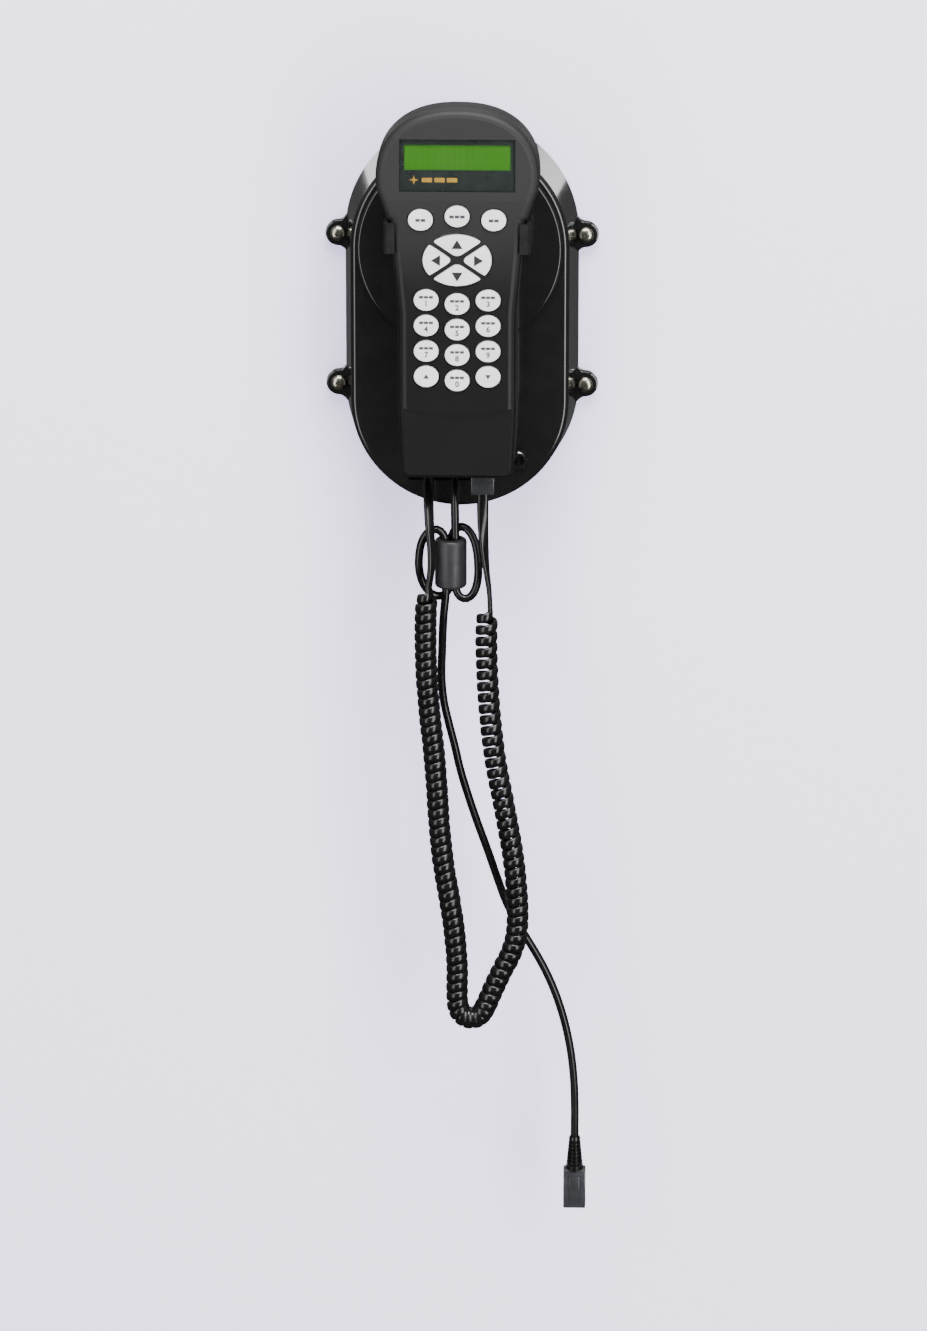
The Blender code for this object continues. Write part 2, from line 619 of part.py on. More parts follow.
def add_port_cuts(bm, y_from, y_to):
    for x, width in port_boxes():
        low, high = min(y_from, y_to), max(y_from, y_to)
        add_box(bm, (x - width / 2, low, HANDSET_BOTTOM - 2 * MM),
                (x + width / 2, high, HANDSET_BOTTOM + HANDSET_WALL + 1.5 * MM))


def front_cuts():
    """Holes for the keys, the blind screw holes and the front halves of the ports."""
    bm = bmesh.new()
    back, front = HANDSET_FRONT + HANDSET_WALL + 1 * MM, HANDSET_FRONT - 1 * MM
    for _, outline in key_outlines(HOLE_CLEAR):
        add_prism(bm, outline, back, front)
    for x, z in case_screw_places():
        add_prism(bm, oval(1.2 * MM, 1.2 * MM, x, z, 10), HANDSET_SPLIT + 1 * MM, HANDSET_FRONT + 8 * MM)
    add_port_cuts(bm, HANDSET_SPLIT + 0.5 * MM, PORT_Y - 6.3 * MM)
    return mesh_object("front_shell_cuts", bm)


def rear_cuts():
    """Stepped screw holes and the rear halves of the ports."""
    bm = bmesh.new()
    for x, z in case_screw_places():
        add_turned(bm, x, z, ((1.5 * MM, HANDSET_SPLIT - 1 * MM), (1.5 * MM, CASE_SCREW_SEAT),
                              (2.7 * MM, CASE_SCREW_SEAT), (2.7 * MM, HANDSET_BACK + 1 * MM)), 12)
    add_port_cuts(bm, HANDSET_SPLIT - 0.5 * MM, PORT_Y + 6.3 * MM)
    return mesh_object("rear_shell_cuts", bm)


def lean_place(obj):
    """Puts an object modelled in the face's own plane onto the head's leaning face."""
    obj.location = (0.0, HANDSET_FRONT, LEAN_Z)
    obj.rotation_euler.x = -LEAN
    return obj


def window_cutter():
    width, height = WINDOW_SIZE
    cutter = box_object("window_opening", (-width / 2, -2 * MM, WINDOW_UP - height / 2),
                        (width / 2, HANDSET_WALL + 1.5 * MM, WINDOW_UP + height / 2))
    return lean_place(cutter)


def step_cutter():
    """Takes 0.6 mm off the face below a shallow curve, which leaves the step across the lower body."""
    top_edge, centre_drop, half = -33.2 * MM, 5.0 * MM, BODY_HALF + 2 * MM
    arc = []
    count = 9
    for i in range(count):
        x = half * (1 - 2 * i / (count - 1))
        arc.append((x, top_edge - centre_drop * (1 - (x / half) ** 2)))
    outline = [(-half, HANDSET_BOTTOM - 2 * MM), (half, HANDSET_BOTTOM - 2 * MM)] + arc
    bm = bmesh.new()
    add_prism(bm, outline, HANDSET_FRONT + 0.6 * MM, HANDSET_FRONT - 2 * MM)
    return mesh_object("lower_step", bm)


def display(glass, black, green):
    """The clear pane, the black mask behind it and the display module, all on the leaning face."""
    width, height = WINDOW_SIZE
    side = 0.2 * MM
    pane = box_object("display_window", (-width / 2 + side, 0.1 * MM, WINDOW_UP - height / 2 + side),
                      (width / 2 - side, 0.1 * MM + PANE_THICK, WINDOW_UP + height / 2 - side), glass)
    lean_place(pane)
    mask_front = 0.1 * MM + PANE_THICK + GAP
    mask = box_object("display_mask", (-width / 2 + side, mask_front, WINDOW_UP - height / 2 + side),
                      (width / 2 - side, mask_front + 0.5 * MM, WINDOW_UP + height / 2 - side), black)
    lean_place(mask)
    half = GLASS_SIZE[0] / 2
    opening = box_object("mask_opening", (-half, mask_front - 1 * MM, GLASS_UP - GLASS_SIZE[1] / 2),
                         (half, mask_front + 2 * MM, GLASS_UP + GLASS_SIZE[1] / 2))
    boolean(mask, lean_place(opening), "DIFFERENCE")
    module_front = mask_front + 0.5 * MM + GAP
    half = 27.6 * MM
    module = box_object("display_module", (-half, module_front, GLASS_UP - 10.5 * MM),
                        (half, module_front + 3.6 * MM, GLASS_UP + 7.4 * MM), green)
    return lean_place(module)


def rounded(corners, radius, steps=3):
    """The polygon with each marked corner cut to a short curve. corners are (x, z, round it or not)."""
    made = []
    count = len(corners)
    for i, (x, z, cut) in enumerate(corners):
        if not cut:
            made.append((x, z))
            continue
        here = Vector((x, z))
        before, after = Vector(corners[i - 1][:2]), Vector(corners[(i + 1) % count][:2])
        start = here + (before - here).normalized() * min(radius, (before - here).length * 0.45)
        end = here + (after - here).normalized() * min(radius, (after - here).length * 0.45)
        for step in range(steps + 1):
            t = step / steps
            point = start * (1 - t) ** 2 + here * 2 * t * (1 - t) + end * t * t
            made.append((point.x, point.y))
    return made


def petal(upright, sign, grow):
    """Outline of one arrow key: the oval's piece between two arms of the X, grown by grow all round."""
    a, b = ARROWS_A + grow, ARROWS_B + grow
    slot = ARROWS_SLOT - grow
    slope = ARROWS_SLOPE if upright else math.pi / 2 - ARROWS_SLOPE
    along, across = (b, a) if upright else (a, b)
    apex = slot / math.cos(slope)
    reach = 0.0
    for i in range(2000):
        side = across * i / 2000
        if math.tan(slope) * side + apex > along * math.sqrt(1 - (side / across) ** 2):
            break
        reach = side
    limit = math.asin(reach / across)
    count = 9
    corners = [(0.0, apex, True)]
    for i in range(count):
        angle = limit * (1 - 2 * i / (count - 1))
        corners.append((across * math.sin(angle), along * math.cos(angle), i in (0, count - 1)))
    outline = rounded(corners, 3.2 * MM)
    if upright:
        return [(x, ARROWS_Z + sign * z) for x, z in outline]
    return [(sign * z, ARROWS_Z + x) for x, z in outline]


def key_outlines(grow=0.0):
    """Every key's name and outline at rest, grown by the clearance for its hole."""
    made = []
    for name, x, z in TOP_KEYS:
        made.append((name, oval(KEY_A + grow, KEY_B + grow, x * MM, z * MM, 20)))
    made.append(("key_up", petal(True, 1, grow)))
    made.append(("key_down", petal(True, -1, grow)))
    made.append(("key_left", petal(False, -1, grow)))
    made.append(("key_right", petal(False, 1, grow)))
    for row, names in enumerate(PAD_NAMES):
        for column, name in enumerate(names):
            x = (column - 1) * PAD_COLUMN
            z = PAD_TOP - row * PAD_ROW - (PAD_MIDDLE_DROP if column == 1 else 0.0)
            made.append((name, oval(KEY_A + grow, KEY_B + grow, x, z, 20)))
    return made


def scaled(outline, factor_x, factor_z):
    x0 = (min(x for x, _ in outline) + max(x for x, _ in outline)) / 2
    z0 = (min(z for _, z in outline) + max(z for _, z in outline)) / 2
    return [(x0 + (x - x0) * factor_x, z0 + (z - z0) * factor_z) for x, z in outline]


def key(name, outline, plastic):
    """A key cap with a retaining flange behind the case. It slides along +Y from its own centre."""
    x0 = (min(x for x, _ in outline) + max(x for x, _ in outline)) / 2
    z0 = (min(z for _, z in outline) + max(z for _, z in outline)) / 2
    local = [(x - x0, z - z0) for x, z in outline]
    inside = HANDSET_FRONT + HANDSET_WALL + GAP
    flange_wide = 1.0 + 0.8 * MM / (max(x for x, _ in local))
    flange = scaled(local, flange_wide, 1.0)
    top = HANDSET_FRONT - KEY_PROUD
    layers = [
        (flange, inside + KEY_FLANGE), (flange, inside), (local, inside), (local, top + KEY_DOME),
        (scaled(local, 0.93, 0.92), top + 0.1 * MM), (scaled(local, 0.62, 0.6), top),
    ]
    layers = [(points, y - HANDSET_FRONT) for points, y in layers]
    cap = stepped_prism(name, layers, plastic)
    cap.location = (x0, HANDSET_FRONT, z0)
    return cap


def handset_inside(rubber, board, black, metal):
    mat_front = HANDSET_FRONT + HANDSET_WALL + GAP + KEY_FLANGE + KEY_TRAVEL_GAP
    half = 25.0 * MM
    mat_back = mat_front + 1.2 * MM
    box_object("keypad_mat", (-half, mat_front, -27.0 * MM), (half, mat_back, 71.0 * MM), rubber)
    board_front = mat_back + 3.2 * MM
    box_object("main_board", (-half, board_front, -50.0 * MM), (half, board_front + 1.6 * MM, 76.0 * MM),
               board)
    mouth = HANDSET_BOTTOM + 0.2 * MM
    socket("handset_socket", LEAD_PORT_X, PORT_Y, mouth, black)
    port_socket("update_socket", -2.0 * MM, 9.8 * MM, mouth, (6.4 * MM, 6.0 * MM), black)
    port_socket("handset_power_socket", -14.0 * MM, 8.8 * MM, mouth, (5.6 * MM, 5.6 * MM), metal)
    for number, (x, z) in enumerate(case_screw_places(), 1):
        case_screw(number, x, z, metal)


def port_socket(name, x, width, mouth, hole, finish):
    body = box_object(name, (x - width / 2, PORT_Y - 5.4 * MM, mouth),
                      (x + width / 2, PORT_Y + 5.4 * MM, mouth + 12 * MM), finish)
    hollow = box_object(f"{name}_hollow", (x - hole[0] / 2, PORT_Y - hole[1] / 2, mouth - 1 * MM),
                        (x + hole[0] / 2, PORT_Y + hole[1] / 2, mouth + 9 * MM))
    return boolean(body, hollow, "DIFFERENCE")


def case_screw(number, x, z, steel):
    head = CASE_SCREW_SEAT + GAP
    profile = [(2.3 * MM, HANDSET_BACK - 2.2 * MM), (2.3 * MM, head), (0.9 * MM, head),
               (0.9 * MM, HANDSET_SPLIT - 5 * MM)]
    screw = turned(f"case_screw_{number}", profile, steel, sides=12)
    screw.location = (x, 0.0, z)
    return screw


# ---- cords ----

def ferrite_core(grey):
    x, y = CORE_AT
    low, high = CORE_Z
    edge = 1.6 * MM
    side = CORE_R - 0.4 * MM
    profile = [(CORE_BORE, low), (CORE_R - edge, low), (side, low + 0.5 * MM), (CORE_R, low + edge),
               (CORE_R, high - edge), (side, high - 0.5 * MM), (CORE_R - edge, high), (CORE_BORE, high)]
    bm = bmesh.new()
    sides = 20
    rows = bridge(bm, [[(px, py, z) for px, py in oval(r, r, x, y, sides)] for r, z in profile])
    for i in range(sides):
        j = (i + 1) % sides
        bm.faces.new((rows[-1][i], rows[-1][j], rows[0][j], rows[0][i]))
    return mesh_object("ferrite_core", bm, grey)


def drive_plug(black):
    """The drive lead's far plug with its tapered boot, hanging straight down."""
    x, y, z = DRIVE_PLUG_TOP
    bm = bmesh.new()
    profile = ((2.9 * MM, z), (3.4 * MM, z - 6 * MM), (4.6 * MM, z - 16 * MM), (4.6 * MM, z - 19 * MM))
    rows = bridge(bm, [[(px, py, level) for px, py in oval(r, r, x, y, 16)] for r, level in profile])
    bm.faces.new(rows[0])
    bm.faces.new(list(reversed(rows[-1])))
    boot = mesh_object("drive_plug", bm, black)
    width, depth, length = PLUG_SIZE
    body = box_object("drive_plug_body", (x - width / 2, y - 4 * MM, z - 18 * MM - length),
                      (x + width / 2, y + 4 * MM, z - 18 * MM), bevel=0.5 * MM)
    latch = box_object("drive_plug_latch", (x - 3 * MM, y - 5.2 * MM, z - 36 * MM),
                       (x + 3 * MM, y - 3.4 * MM, z - 22 * MM))
    boolean(boot, body, "UNION")
    return boolean(boot, latch, "UNION")


def build():
    clear_scene()
    gloss = material("dock_gloss_black", (0.012, 0.012, 0.013), 0.12)
    case = material("handset_case", (0.04, 0.04, 0.042), 0.5)
    clip = material("clip_black", (0.02, 0.02, 0.02), 0.35)
    plate = material("plate_steel", (0.35, 0.35, 0.36), 0.4, 1.0)
    steel = material("screw_steel", (0.6, 0.58, 0.55), 0.25, 1.0)
    keys = material("key_grey", (0.69, 0.70, 0.71), 0.4)
    pane = material("window_glass", (0.05, 0.06, 0.06), 0.05)
    mask = material("mask_black", (0.018, 0.024, 0.024), 0.3)
    green = material("display_green", (0.07, 0.24, 0.01), 0.3)
    rubber = material("mat_rubber", (0.5, 0.5, 0.5), 0.7)
    board = material("board_green", (0.02, 0.12, 0.05), 0.5)
    socket_black = material("socket_black", (0.015, 0.015, 0.015), 0.4)
    cord = material("cord_black", (0.012, 0.012, 0.012), 0.35)
    plug = material("plug_dark", (0.05, 0.05, 0.055), 0.25)
    ferrite = material("ferrite_grey", (0.1, 0.1, 0.115), 0.5)

    dock_back_plate(plate)
    dock_cover(gloss)
    number = 0
    for level in (1, -1):
        for side in (-1, 1):
            number += 1
            dock_screw(number, side * LUG_X, level * LUG_Z, steel)
    holder_clip(clip)
    for number, z in enumerate(clip_screw_heights(), 1):
        clip_screw(number, z, steel)
    mouth = RECESS_Z[1] + 2.0 * MM + GAP
    socket("dock_lead_socket", LEAD_SOCKET_X, SOCKET_Y, mouth, socket_black)
    socket("dock_drive_socket", DRIVE_SOCKET_X, SOCKET_Y, mouth, socket_black)
    board_back = SOCKET_Y + SOCKET_SIZE[1] / 2 + GAP
    box_object("dock_board", (-30 * MM, board_back, RECESS_Z[1] + 3 * MM),
               (14 * MM, board_back + 1.6 * MM, -12 * MM), board)
    power_socket(steel)

    front_shell(case)
    rear_shell(case)
    display(pane, mask, green)
    for name, outline in key_outlines():
        key(name, outline, keys)
    handset_inside(rubber, board, socket_black, steel)

    modular_plug("dock_plug", LEAD_SOCKET_X, SOCKET_Y, mouth, -1, plug)
    modular_plug("drive_lead_dock_plug", DRIVE_SOCKET_X, SOCKET_Y, mouth, -1, plug)
    modular_plug("handset_plug", LEAD_PORT_X, PORT_Y, HANDSET_BOTTOM + 0.2 * MM, 1, plug)
    tube("lead_tail_dock", DOCK_TAIL_ROUTE, TAIL_R, 5 * MM, 2, cord)
    tube("lead_tail_handset", HANDSET_TAIL_ROUTE, TAIL_R, 6 * MM, 2, cord)
    tube("lead_coil", COIL_ROUTE, COIL_R, 8 * MM, 3, cord)
    tube("drive_lead", DRIVE_ROUTE, DRIVE_R, 5.5 * MM, 2, cord)
    ferrite_core(ferrite)
    drive_plug(plug)


build()
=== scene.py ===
"""Looks of a telescope hand controller: handset in its clip on a gloss dock, curly lead and drive lead.

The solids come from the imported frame. This script gives them their materials and adds the pieces whose
fine shape shows: key caps and their marks, screws, plugs, the ferrite, and the two leads.
"""

import json
import math

import bmesh
import bpy
import numpy as np
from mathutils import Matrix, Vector


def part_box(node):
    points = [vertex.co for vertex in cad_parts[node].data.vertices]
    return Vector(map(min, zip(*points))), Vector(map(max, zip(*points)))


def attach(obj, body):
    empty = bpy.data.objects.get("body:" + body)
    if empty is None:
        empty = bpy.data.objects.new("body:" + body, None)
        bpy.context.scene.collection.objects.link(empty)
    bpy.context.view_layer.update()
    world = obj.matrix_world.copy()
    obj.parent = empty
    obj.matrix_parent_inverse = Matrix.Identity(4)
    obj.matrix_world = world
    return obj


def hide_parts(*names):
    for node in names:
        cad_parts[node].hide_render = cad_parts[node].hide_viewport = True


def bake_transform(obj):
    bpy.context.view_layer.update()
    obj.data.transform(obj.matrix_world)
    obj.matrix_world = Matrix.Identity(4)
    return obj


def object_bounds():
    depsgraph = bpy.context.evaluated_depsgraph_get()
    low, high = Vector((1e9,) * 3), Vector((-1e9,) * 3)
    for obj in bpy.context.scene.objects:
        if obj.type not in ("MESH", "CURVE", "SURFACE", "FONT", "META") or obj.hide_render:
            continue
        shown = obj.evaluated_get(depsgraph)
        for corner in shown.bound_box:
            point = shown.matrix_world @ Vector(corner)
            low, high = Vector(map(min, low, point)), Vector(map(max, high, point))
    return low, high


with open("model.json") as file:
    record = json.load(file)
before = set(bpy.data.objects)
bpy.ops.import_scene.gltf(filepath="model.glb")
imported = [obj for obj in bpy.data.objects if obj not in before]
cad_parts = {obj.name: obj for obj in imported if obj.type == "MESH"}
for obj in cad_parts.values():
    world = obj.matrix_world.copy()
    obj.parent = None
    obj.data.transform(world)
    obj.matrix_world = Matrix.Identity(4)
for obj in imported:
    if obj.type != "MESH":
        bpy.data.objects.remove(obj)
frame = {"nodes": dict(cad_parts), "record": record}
CAD_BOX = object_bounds()
NODES = frame["nodes"]
MM = 0.001

KEY_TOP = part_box("key_5")[0].y
FRONT = KEY_TOP + 1.5 * MM  # the handset's flat face
KEY_NAMES = [name for name in NODES if name.startswith("key_")]

# ---- the leads' routes, in millimetres, as the solids have them ----
DOCK_TAIL_ROUTE = (
    (-16.0, -26.0, -59.6), (-16.0, -26.1, -64.0), (-16.0, -28.9, -69.0), (-16.0, -33.4, -74.0),
    (-15.9, -38.8, -78.2), (-15.8, -44.2, -82.8), (-15.6, -49.5, -88.8), (-15.2, -53.8, -96.0),
    (-14.6, -56.5, -104.5), (-13.9, -57.8, -114.0), (-13.9, -58.3, -123.0), (-15.0, -58.2, -131.5),
    (-16.2, -58.0, -137.7),
)
COIL_ROUTE = (
    (-16.3, -58.0, -138.0), (-16.8, -57.9, -149.0), (-16.9, -57.7, -162.0), (-16.5, -57.4, -180.0),
    (-14.9, -57.0, -202.0), (-12.9, -56.8, -221.0), (-11.3, -56.6, -241.0), (-10.0, -56.4, -263.0),
    (-7.7, -56.3, -285.0), (-4.4, -56.2, -305.0), (-2.1, -56.2, -322.0), (-0.8, -56.2, -339.0),
    (-0.8, -56.2, -352.0), (-0.5, -56.3, -361.0), (2.0, -56.3, -366.6), (6.9, -56.4, -368.6),
    (11.6, -56.5, -366.2), (14.8, -56.6, -360.2), (18.5, -56.7, -351.2), (23.0, -56.8, -341.2),
    (27.2, -56.9, -332.6), (30.1, -57.0, -322.0), (30.8, -57.1, -309.0), (29.9, -57.2, -293.0),
    (28.1, -57.4, -277.0), (25.6, -57.6, -262.0), (22.9, -57.8, -247.0), (19.9, -58.0, -231.0),
    (17.5, -58.1, -214.0), (15.8, -58.2, -196.0), (14.8, -58.3, -178.0), (14.4, -58.4, -162.0),
    (14.6, -58.5, -147.0),
)
HANDSET_TAIL_ROUTE = (
    (12.5, -60.0, -83.3), (12.5, -60.0, -92.0), (12.7, -59.9, -102.0), (13.3, -59.6, -113.0),
    (14.4, -59.2, -124.0), (15.8, -58.8, -135.0), (16.4, -58.5, -146.4),
)
DRIVE_ROUTE = (
    (-2.0, -26.0, -59.6), (-2.0, -26.1, -64.0), (-2.1, -28.9, -69.0), (-2.2, -33.4, -74.0),
    (-2.3, -38.8, -78.4), (-2.3, -44.0, -84.0), (-2.2, -47.6, -91.0), (-2.0, -49.6, -99.0),
    (-1.9, -50.3, -107.0), (-1.9, -50.3, -115.0), (-1.9, -50.3, -124.0), (-1.9, -50.3, -132.0),
    (-1.3, -50.4, -137.4), (1.2, -50.7, -141.1), (4.9, -50.8, -141.2), (8.0, -50.7, -137.6),
    (9.6, -50.5, -131.8), (9.9, -50.2, -125.0), (9.3, -49.4, -117.2), (7.3, -48.0, -110.0),
    (3.8, -46.5, -105.4), (-0.2, -45.8, -104.8), (-3.2, -45.9, -107.8), (-4.2, -46.3, -113.0),
    (-4.2, -46.3, -124.0), (-4.2, -46.3, -132.0), (-5.2, -45.9, -137.8), (-9.0, -45.7, -141.6),
    (-14.0, -46.6, -140.4), (-18.2, -48.0, -135.0), (-20.4, -49.2, -127.0), (-20.4, -49.9, -118.5),
    (-18.8, -50.3, -111.0), (-15.4, -50.5, -106.0), (-11.0, -50.5, -104.9), (-7.7, -50.4, -108.0),
    (-6.5, -50.3, -114.0), (-6.5, -50.3, -124.0), (-6.5, -50.3, -133.0), (-6.9, -50.2, -141.0),
    (-7.8, -49.8, -150.0), (-8.4, -48.6, -160.0), (-8.8, -47.0, -171.0), (-9.2, -45.2, -184.0),
    (-8.2, -43.6, -198.0), (-5.6, -42.2, -211.0), (-2.6, -41.2, -223.5), (0.6, -40.4, -238.0),
    (4.8, -39.9, -252.5), (9.5, -39.6, -267.0), (14.6, -39.4, -281.5), (19.4, -39.3, -296.0),
    (24.2, -39.3, -309.6), (29.6, -39.3, -320.6), (35.4, -39.3, -330.4), (41.2, -39.4, -340.4),
    (46.6, -39.5, -351.2), (51.4, -39.6, -363.4), (55.4, -39.7, -377.0), (58.4, -39.8, -392.0),
    (60.2, -39.8, -408.0), (60.8, -39.8, -424.0), (60.8, -39.8, -440.0),
)

# ---- curly lead ----
WIRE_WIDTH = 5.0 * MM  # the flat wire, along the coil
WIRE_THICK = 2.6 * MM
TAIL_WIDER = 1.2  # the straight tails lie flatter than the wound wire
COIL_OUTER_R = 5.85 * MM
PITCH_CLOSED = 5.05 * MM  # the dock's leg, where the turns touch
PITCH_OPEN = 6.1 * MM  # the top of the handset's leg
PITCH_BEND = 0.62  # share of the pitch that is left on the centreline of the tight bend at the bottom
STEPS_PER_TURN = 18
DOCK_END_TURN = -1.0  # where round the coil the wire starts, in radians from its front
HANDSET_END_TURN = math.pi / 2
DRIVE_R = 2.15 * MM

# ---- dock cover ----
DOCK_R = 60.0 * MM  # round ends at the wall
DOCK_LEAN_R = 55.8 * MM  # the same at the front edge's rounding
DOCK_HALF_STRAIGHT = 40.0 * MM
DOCK_FRONT = -38.0 * MM
DOCK_EDGE = 3.0 * MM
DOCK_WALL = 2.6 * MM
DRUM_R = 52.0 * MM
LUG_AT = (63.5 * MM, 39.5 * MM)
LUG_R = 6.6 * MM
LUG_THICK = 4.0 * MM
LUG_ROOT = 10.5 * MM  # half its length along the wall
RECESS_X = (-26.0 * MM, 8.0 * MM)
RECESS_Z = (-82.0 * MM, -50.0 * MM)
RECESS_BACK = -14.0 * MM


# ---- camera, stage and light ----

def camera():
    """The view that the object is usually shown from: nearly straight on and a little from above."""
    azimuth, elevation, distance = math.radians(2.0), math.radians(13.5), 3.2
    handset = Vector((0.0, FRONT, 0.03))
    data = bpy.data.cameras.new("camera")
    made = bpy.data.objects.new("camera", data)
    bpy.context.scene.collection.objects.link(made)
    back = Vector((math.sin(azimuth) * math.cos(elevation), -math.cos(azimuth) * math.cos(elevation),
                   math.sin(elevation)))
    made.location = handset + back * distance
    low, high = CAD_BOX
    aim = Vector((0.002, -0.04, (low.z + high.z) / 2))
    made.rotation_mode = "QUATERNION"
    made.rotation_quaternion = (aim - made.location).to_track_quat("-Z", "Y")
    data.lens = 172.0
    data.clip_start = 0.05
    bpy.context.scene.camera = made


def stage_material(name, colour, roughness):
    """A plain material that shows from its front side only and is clear from behind."""
    made = bpy.data.materials.new(name)
    made.use_nodes = True
    nodes, links = made.node_tree.nodes, made.node_tree.links
    shader = nodes["Principled BSDF"]
    shader.inputs["Base Color"].default_value = (*colour, 1.0)
    shader.inputs["Roughness"].default_value = roughness
    side = nodes.new("ShaderNodeNewGeometry")
    clear = nodes.new("ShaderNodeBsdfTransparent")
    mix = nodes.new("ShaderNodeMixShader")
    links.new(side.outputs["Backfacing"], mix.inputs[0])
    links.new(shader.outputs[0], mix.inputs[1])
    links.new(clear.outputs[0], mix.inputs[2])
    links.new(mix.outputs[0], nodes["Material Output"].inputs["Surface"])
    return made


def plane(name, corners, finish):
    mesh = bpy.data.meshes.new(name)
    mesh.from_pydata(corners, [], [(0, 1, 2, 3)])
    mesh.materials.append(finish)
    made = bpy.data.objects.new(name, mesh)
    bpy.context.scene.collection.objects.link(made)
    made.visible_glossy = False
    return made


def stage():
    """A pale floor, and a pale board on the wall plane."""
    floor_z, wall_y, reach = CAD_BOX[0].z - 0.7, 0.0015, 4.0
    pale = stage_material("stage_floor", (0.86, 0.86, 0.88), 0.7)
    plane("stage_floor", [(-reach, -reach, floor_z), (reach, -reach, floor_z), (reach, reach, floor_z),
                          (-reach, reach, floor_z)], pale)
    board = stage_material("stage_board", (0.925, 0.908, 0.99), 0.6)
    glow = board.node_tree.nodes["Principled BSDF"].inputs
    glow["Emission Color"].default_value = (0.6, 0.5, 1.0, 1.0)
    glow["Emission Strength"].default_value = 0.95
    wall = plane("stage_board", [(-reach, wall_y, floor_z), (reach, wall_y, floor_z), (reach, wall_y, reach),
                                 (-reach, wall_y, reach)], board)
    wall.visible_shadow = False
    wall.visible_diffuse = False


def area_light(name, location, aim, size, power):
    data = bpy.data.lights.new(name, "AREA")
    data.shape = "RECTANGLE"
    data.size, data.size_y = size
    data.energy = power
    made = bpy.data.objects.new(name, data)
    bpy.context.scene.collection.objects.link(made)
    made.location = location
    made.rotation_mode = "QUATERNION"
    made.rotation_quaternion = (Vector(aim) - Vector(location)).to_track_quat("-Z", "Y")


def lights():
    """Two tall soft boxes in front, one to each side of the camera, one light above, and three behind."""
    middle = (0.0, -0.05, -0.1)
    area_light("light_left", (-1.1, -1.45, 0.1), middle, (0.7, 2.4), 22.0)
    area_light("light_right", (1.05, -1.5, 0.1), middle, (0.7, 2.4), 38.0)
    area_light("light_top", (0.15, -1.0, 1.6), middle, (1.4, 0.8), 58.0)
    for side in (-1, 1):
        area_light(f"light_shoulder_{side + 2}", (side * 0.85, 1.85, 0.3), middle, (0.3, 0.5), 1.3)
    area_light("light_behind", (0.0, 1.2, 1.8), middle, (1.6, 0.8), 16.0)
    world = bpy.data.worlds.new("world")
    world.use_nodes = True
    nodes, links = world.node_tree.nodes, world.node_tree.links
    place = nodes.new("ShaderNodeTexCoord")
    parts = nodes.new("ShaderNodeSeparateXYZ")
    height = nodes.new("ShaderNodeMapRange")
    height.inputs["From Min"].default_value = -1.0
    height.inputs["From Max"].default_value = 1.0
    ramp = nodes.new("ShaderNodeValToRGB")
    sky = ((0.0, 0.05), (0.45, 0.1), (0.52, 0.13), (0.68, 0.34), (1.0, 0.5))
    for i, (position, level) in enumerate(sky):
        stop = ramp.color_ramp.elements[i] if i < 2 else ramp.color_ramp.elements.new(position)
        stop.position = position
        stop.color = (level, level * 1.01, level * 1.03, 1.0)
    links.new(place.outputs["Generated"], parts.inputs[0])
    links.new(parts.outputs["Z"], height.inputs["Value"])
    links.new(height.outputs["Result"], ramp.inputs["Fac"])
    links.new(ramp.outputs["Color"], nodes["Background"].inputs["Color"])
    nodes["Background"].inputs["Strength"].default_value = 1.0
    bpy.context.scene.world = world


# ---- materials ----

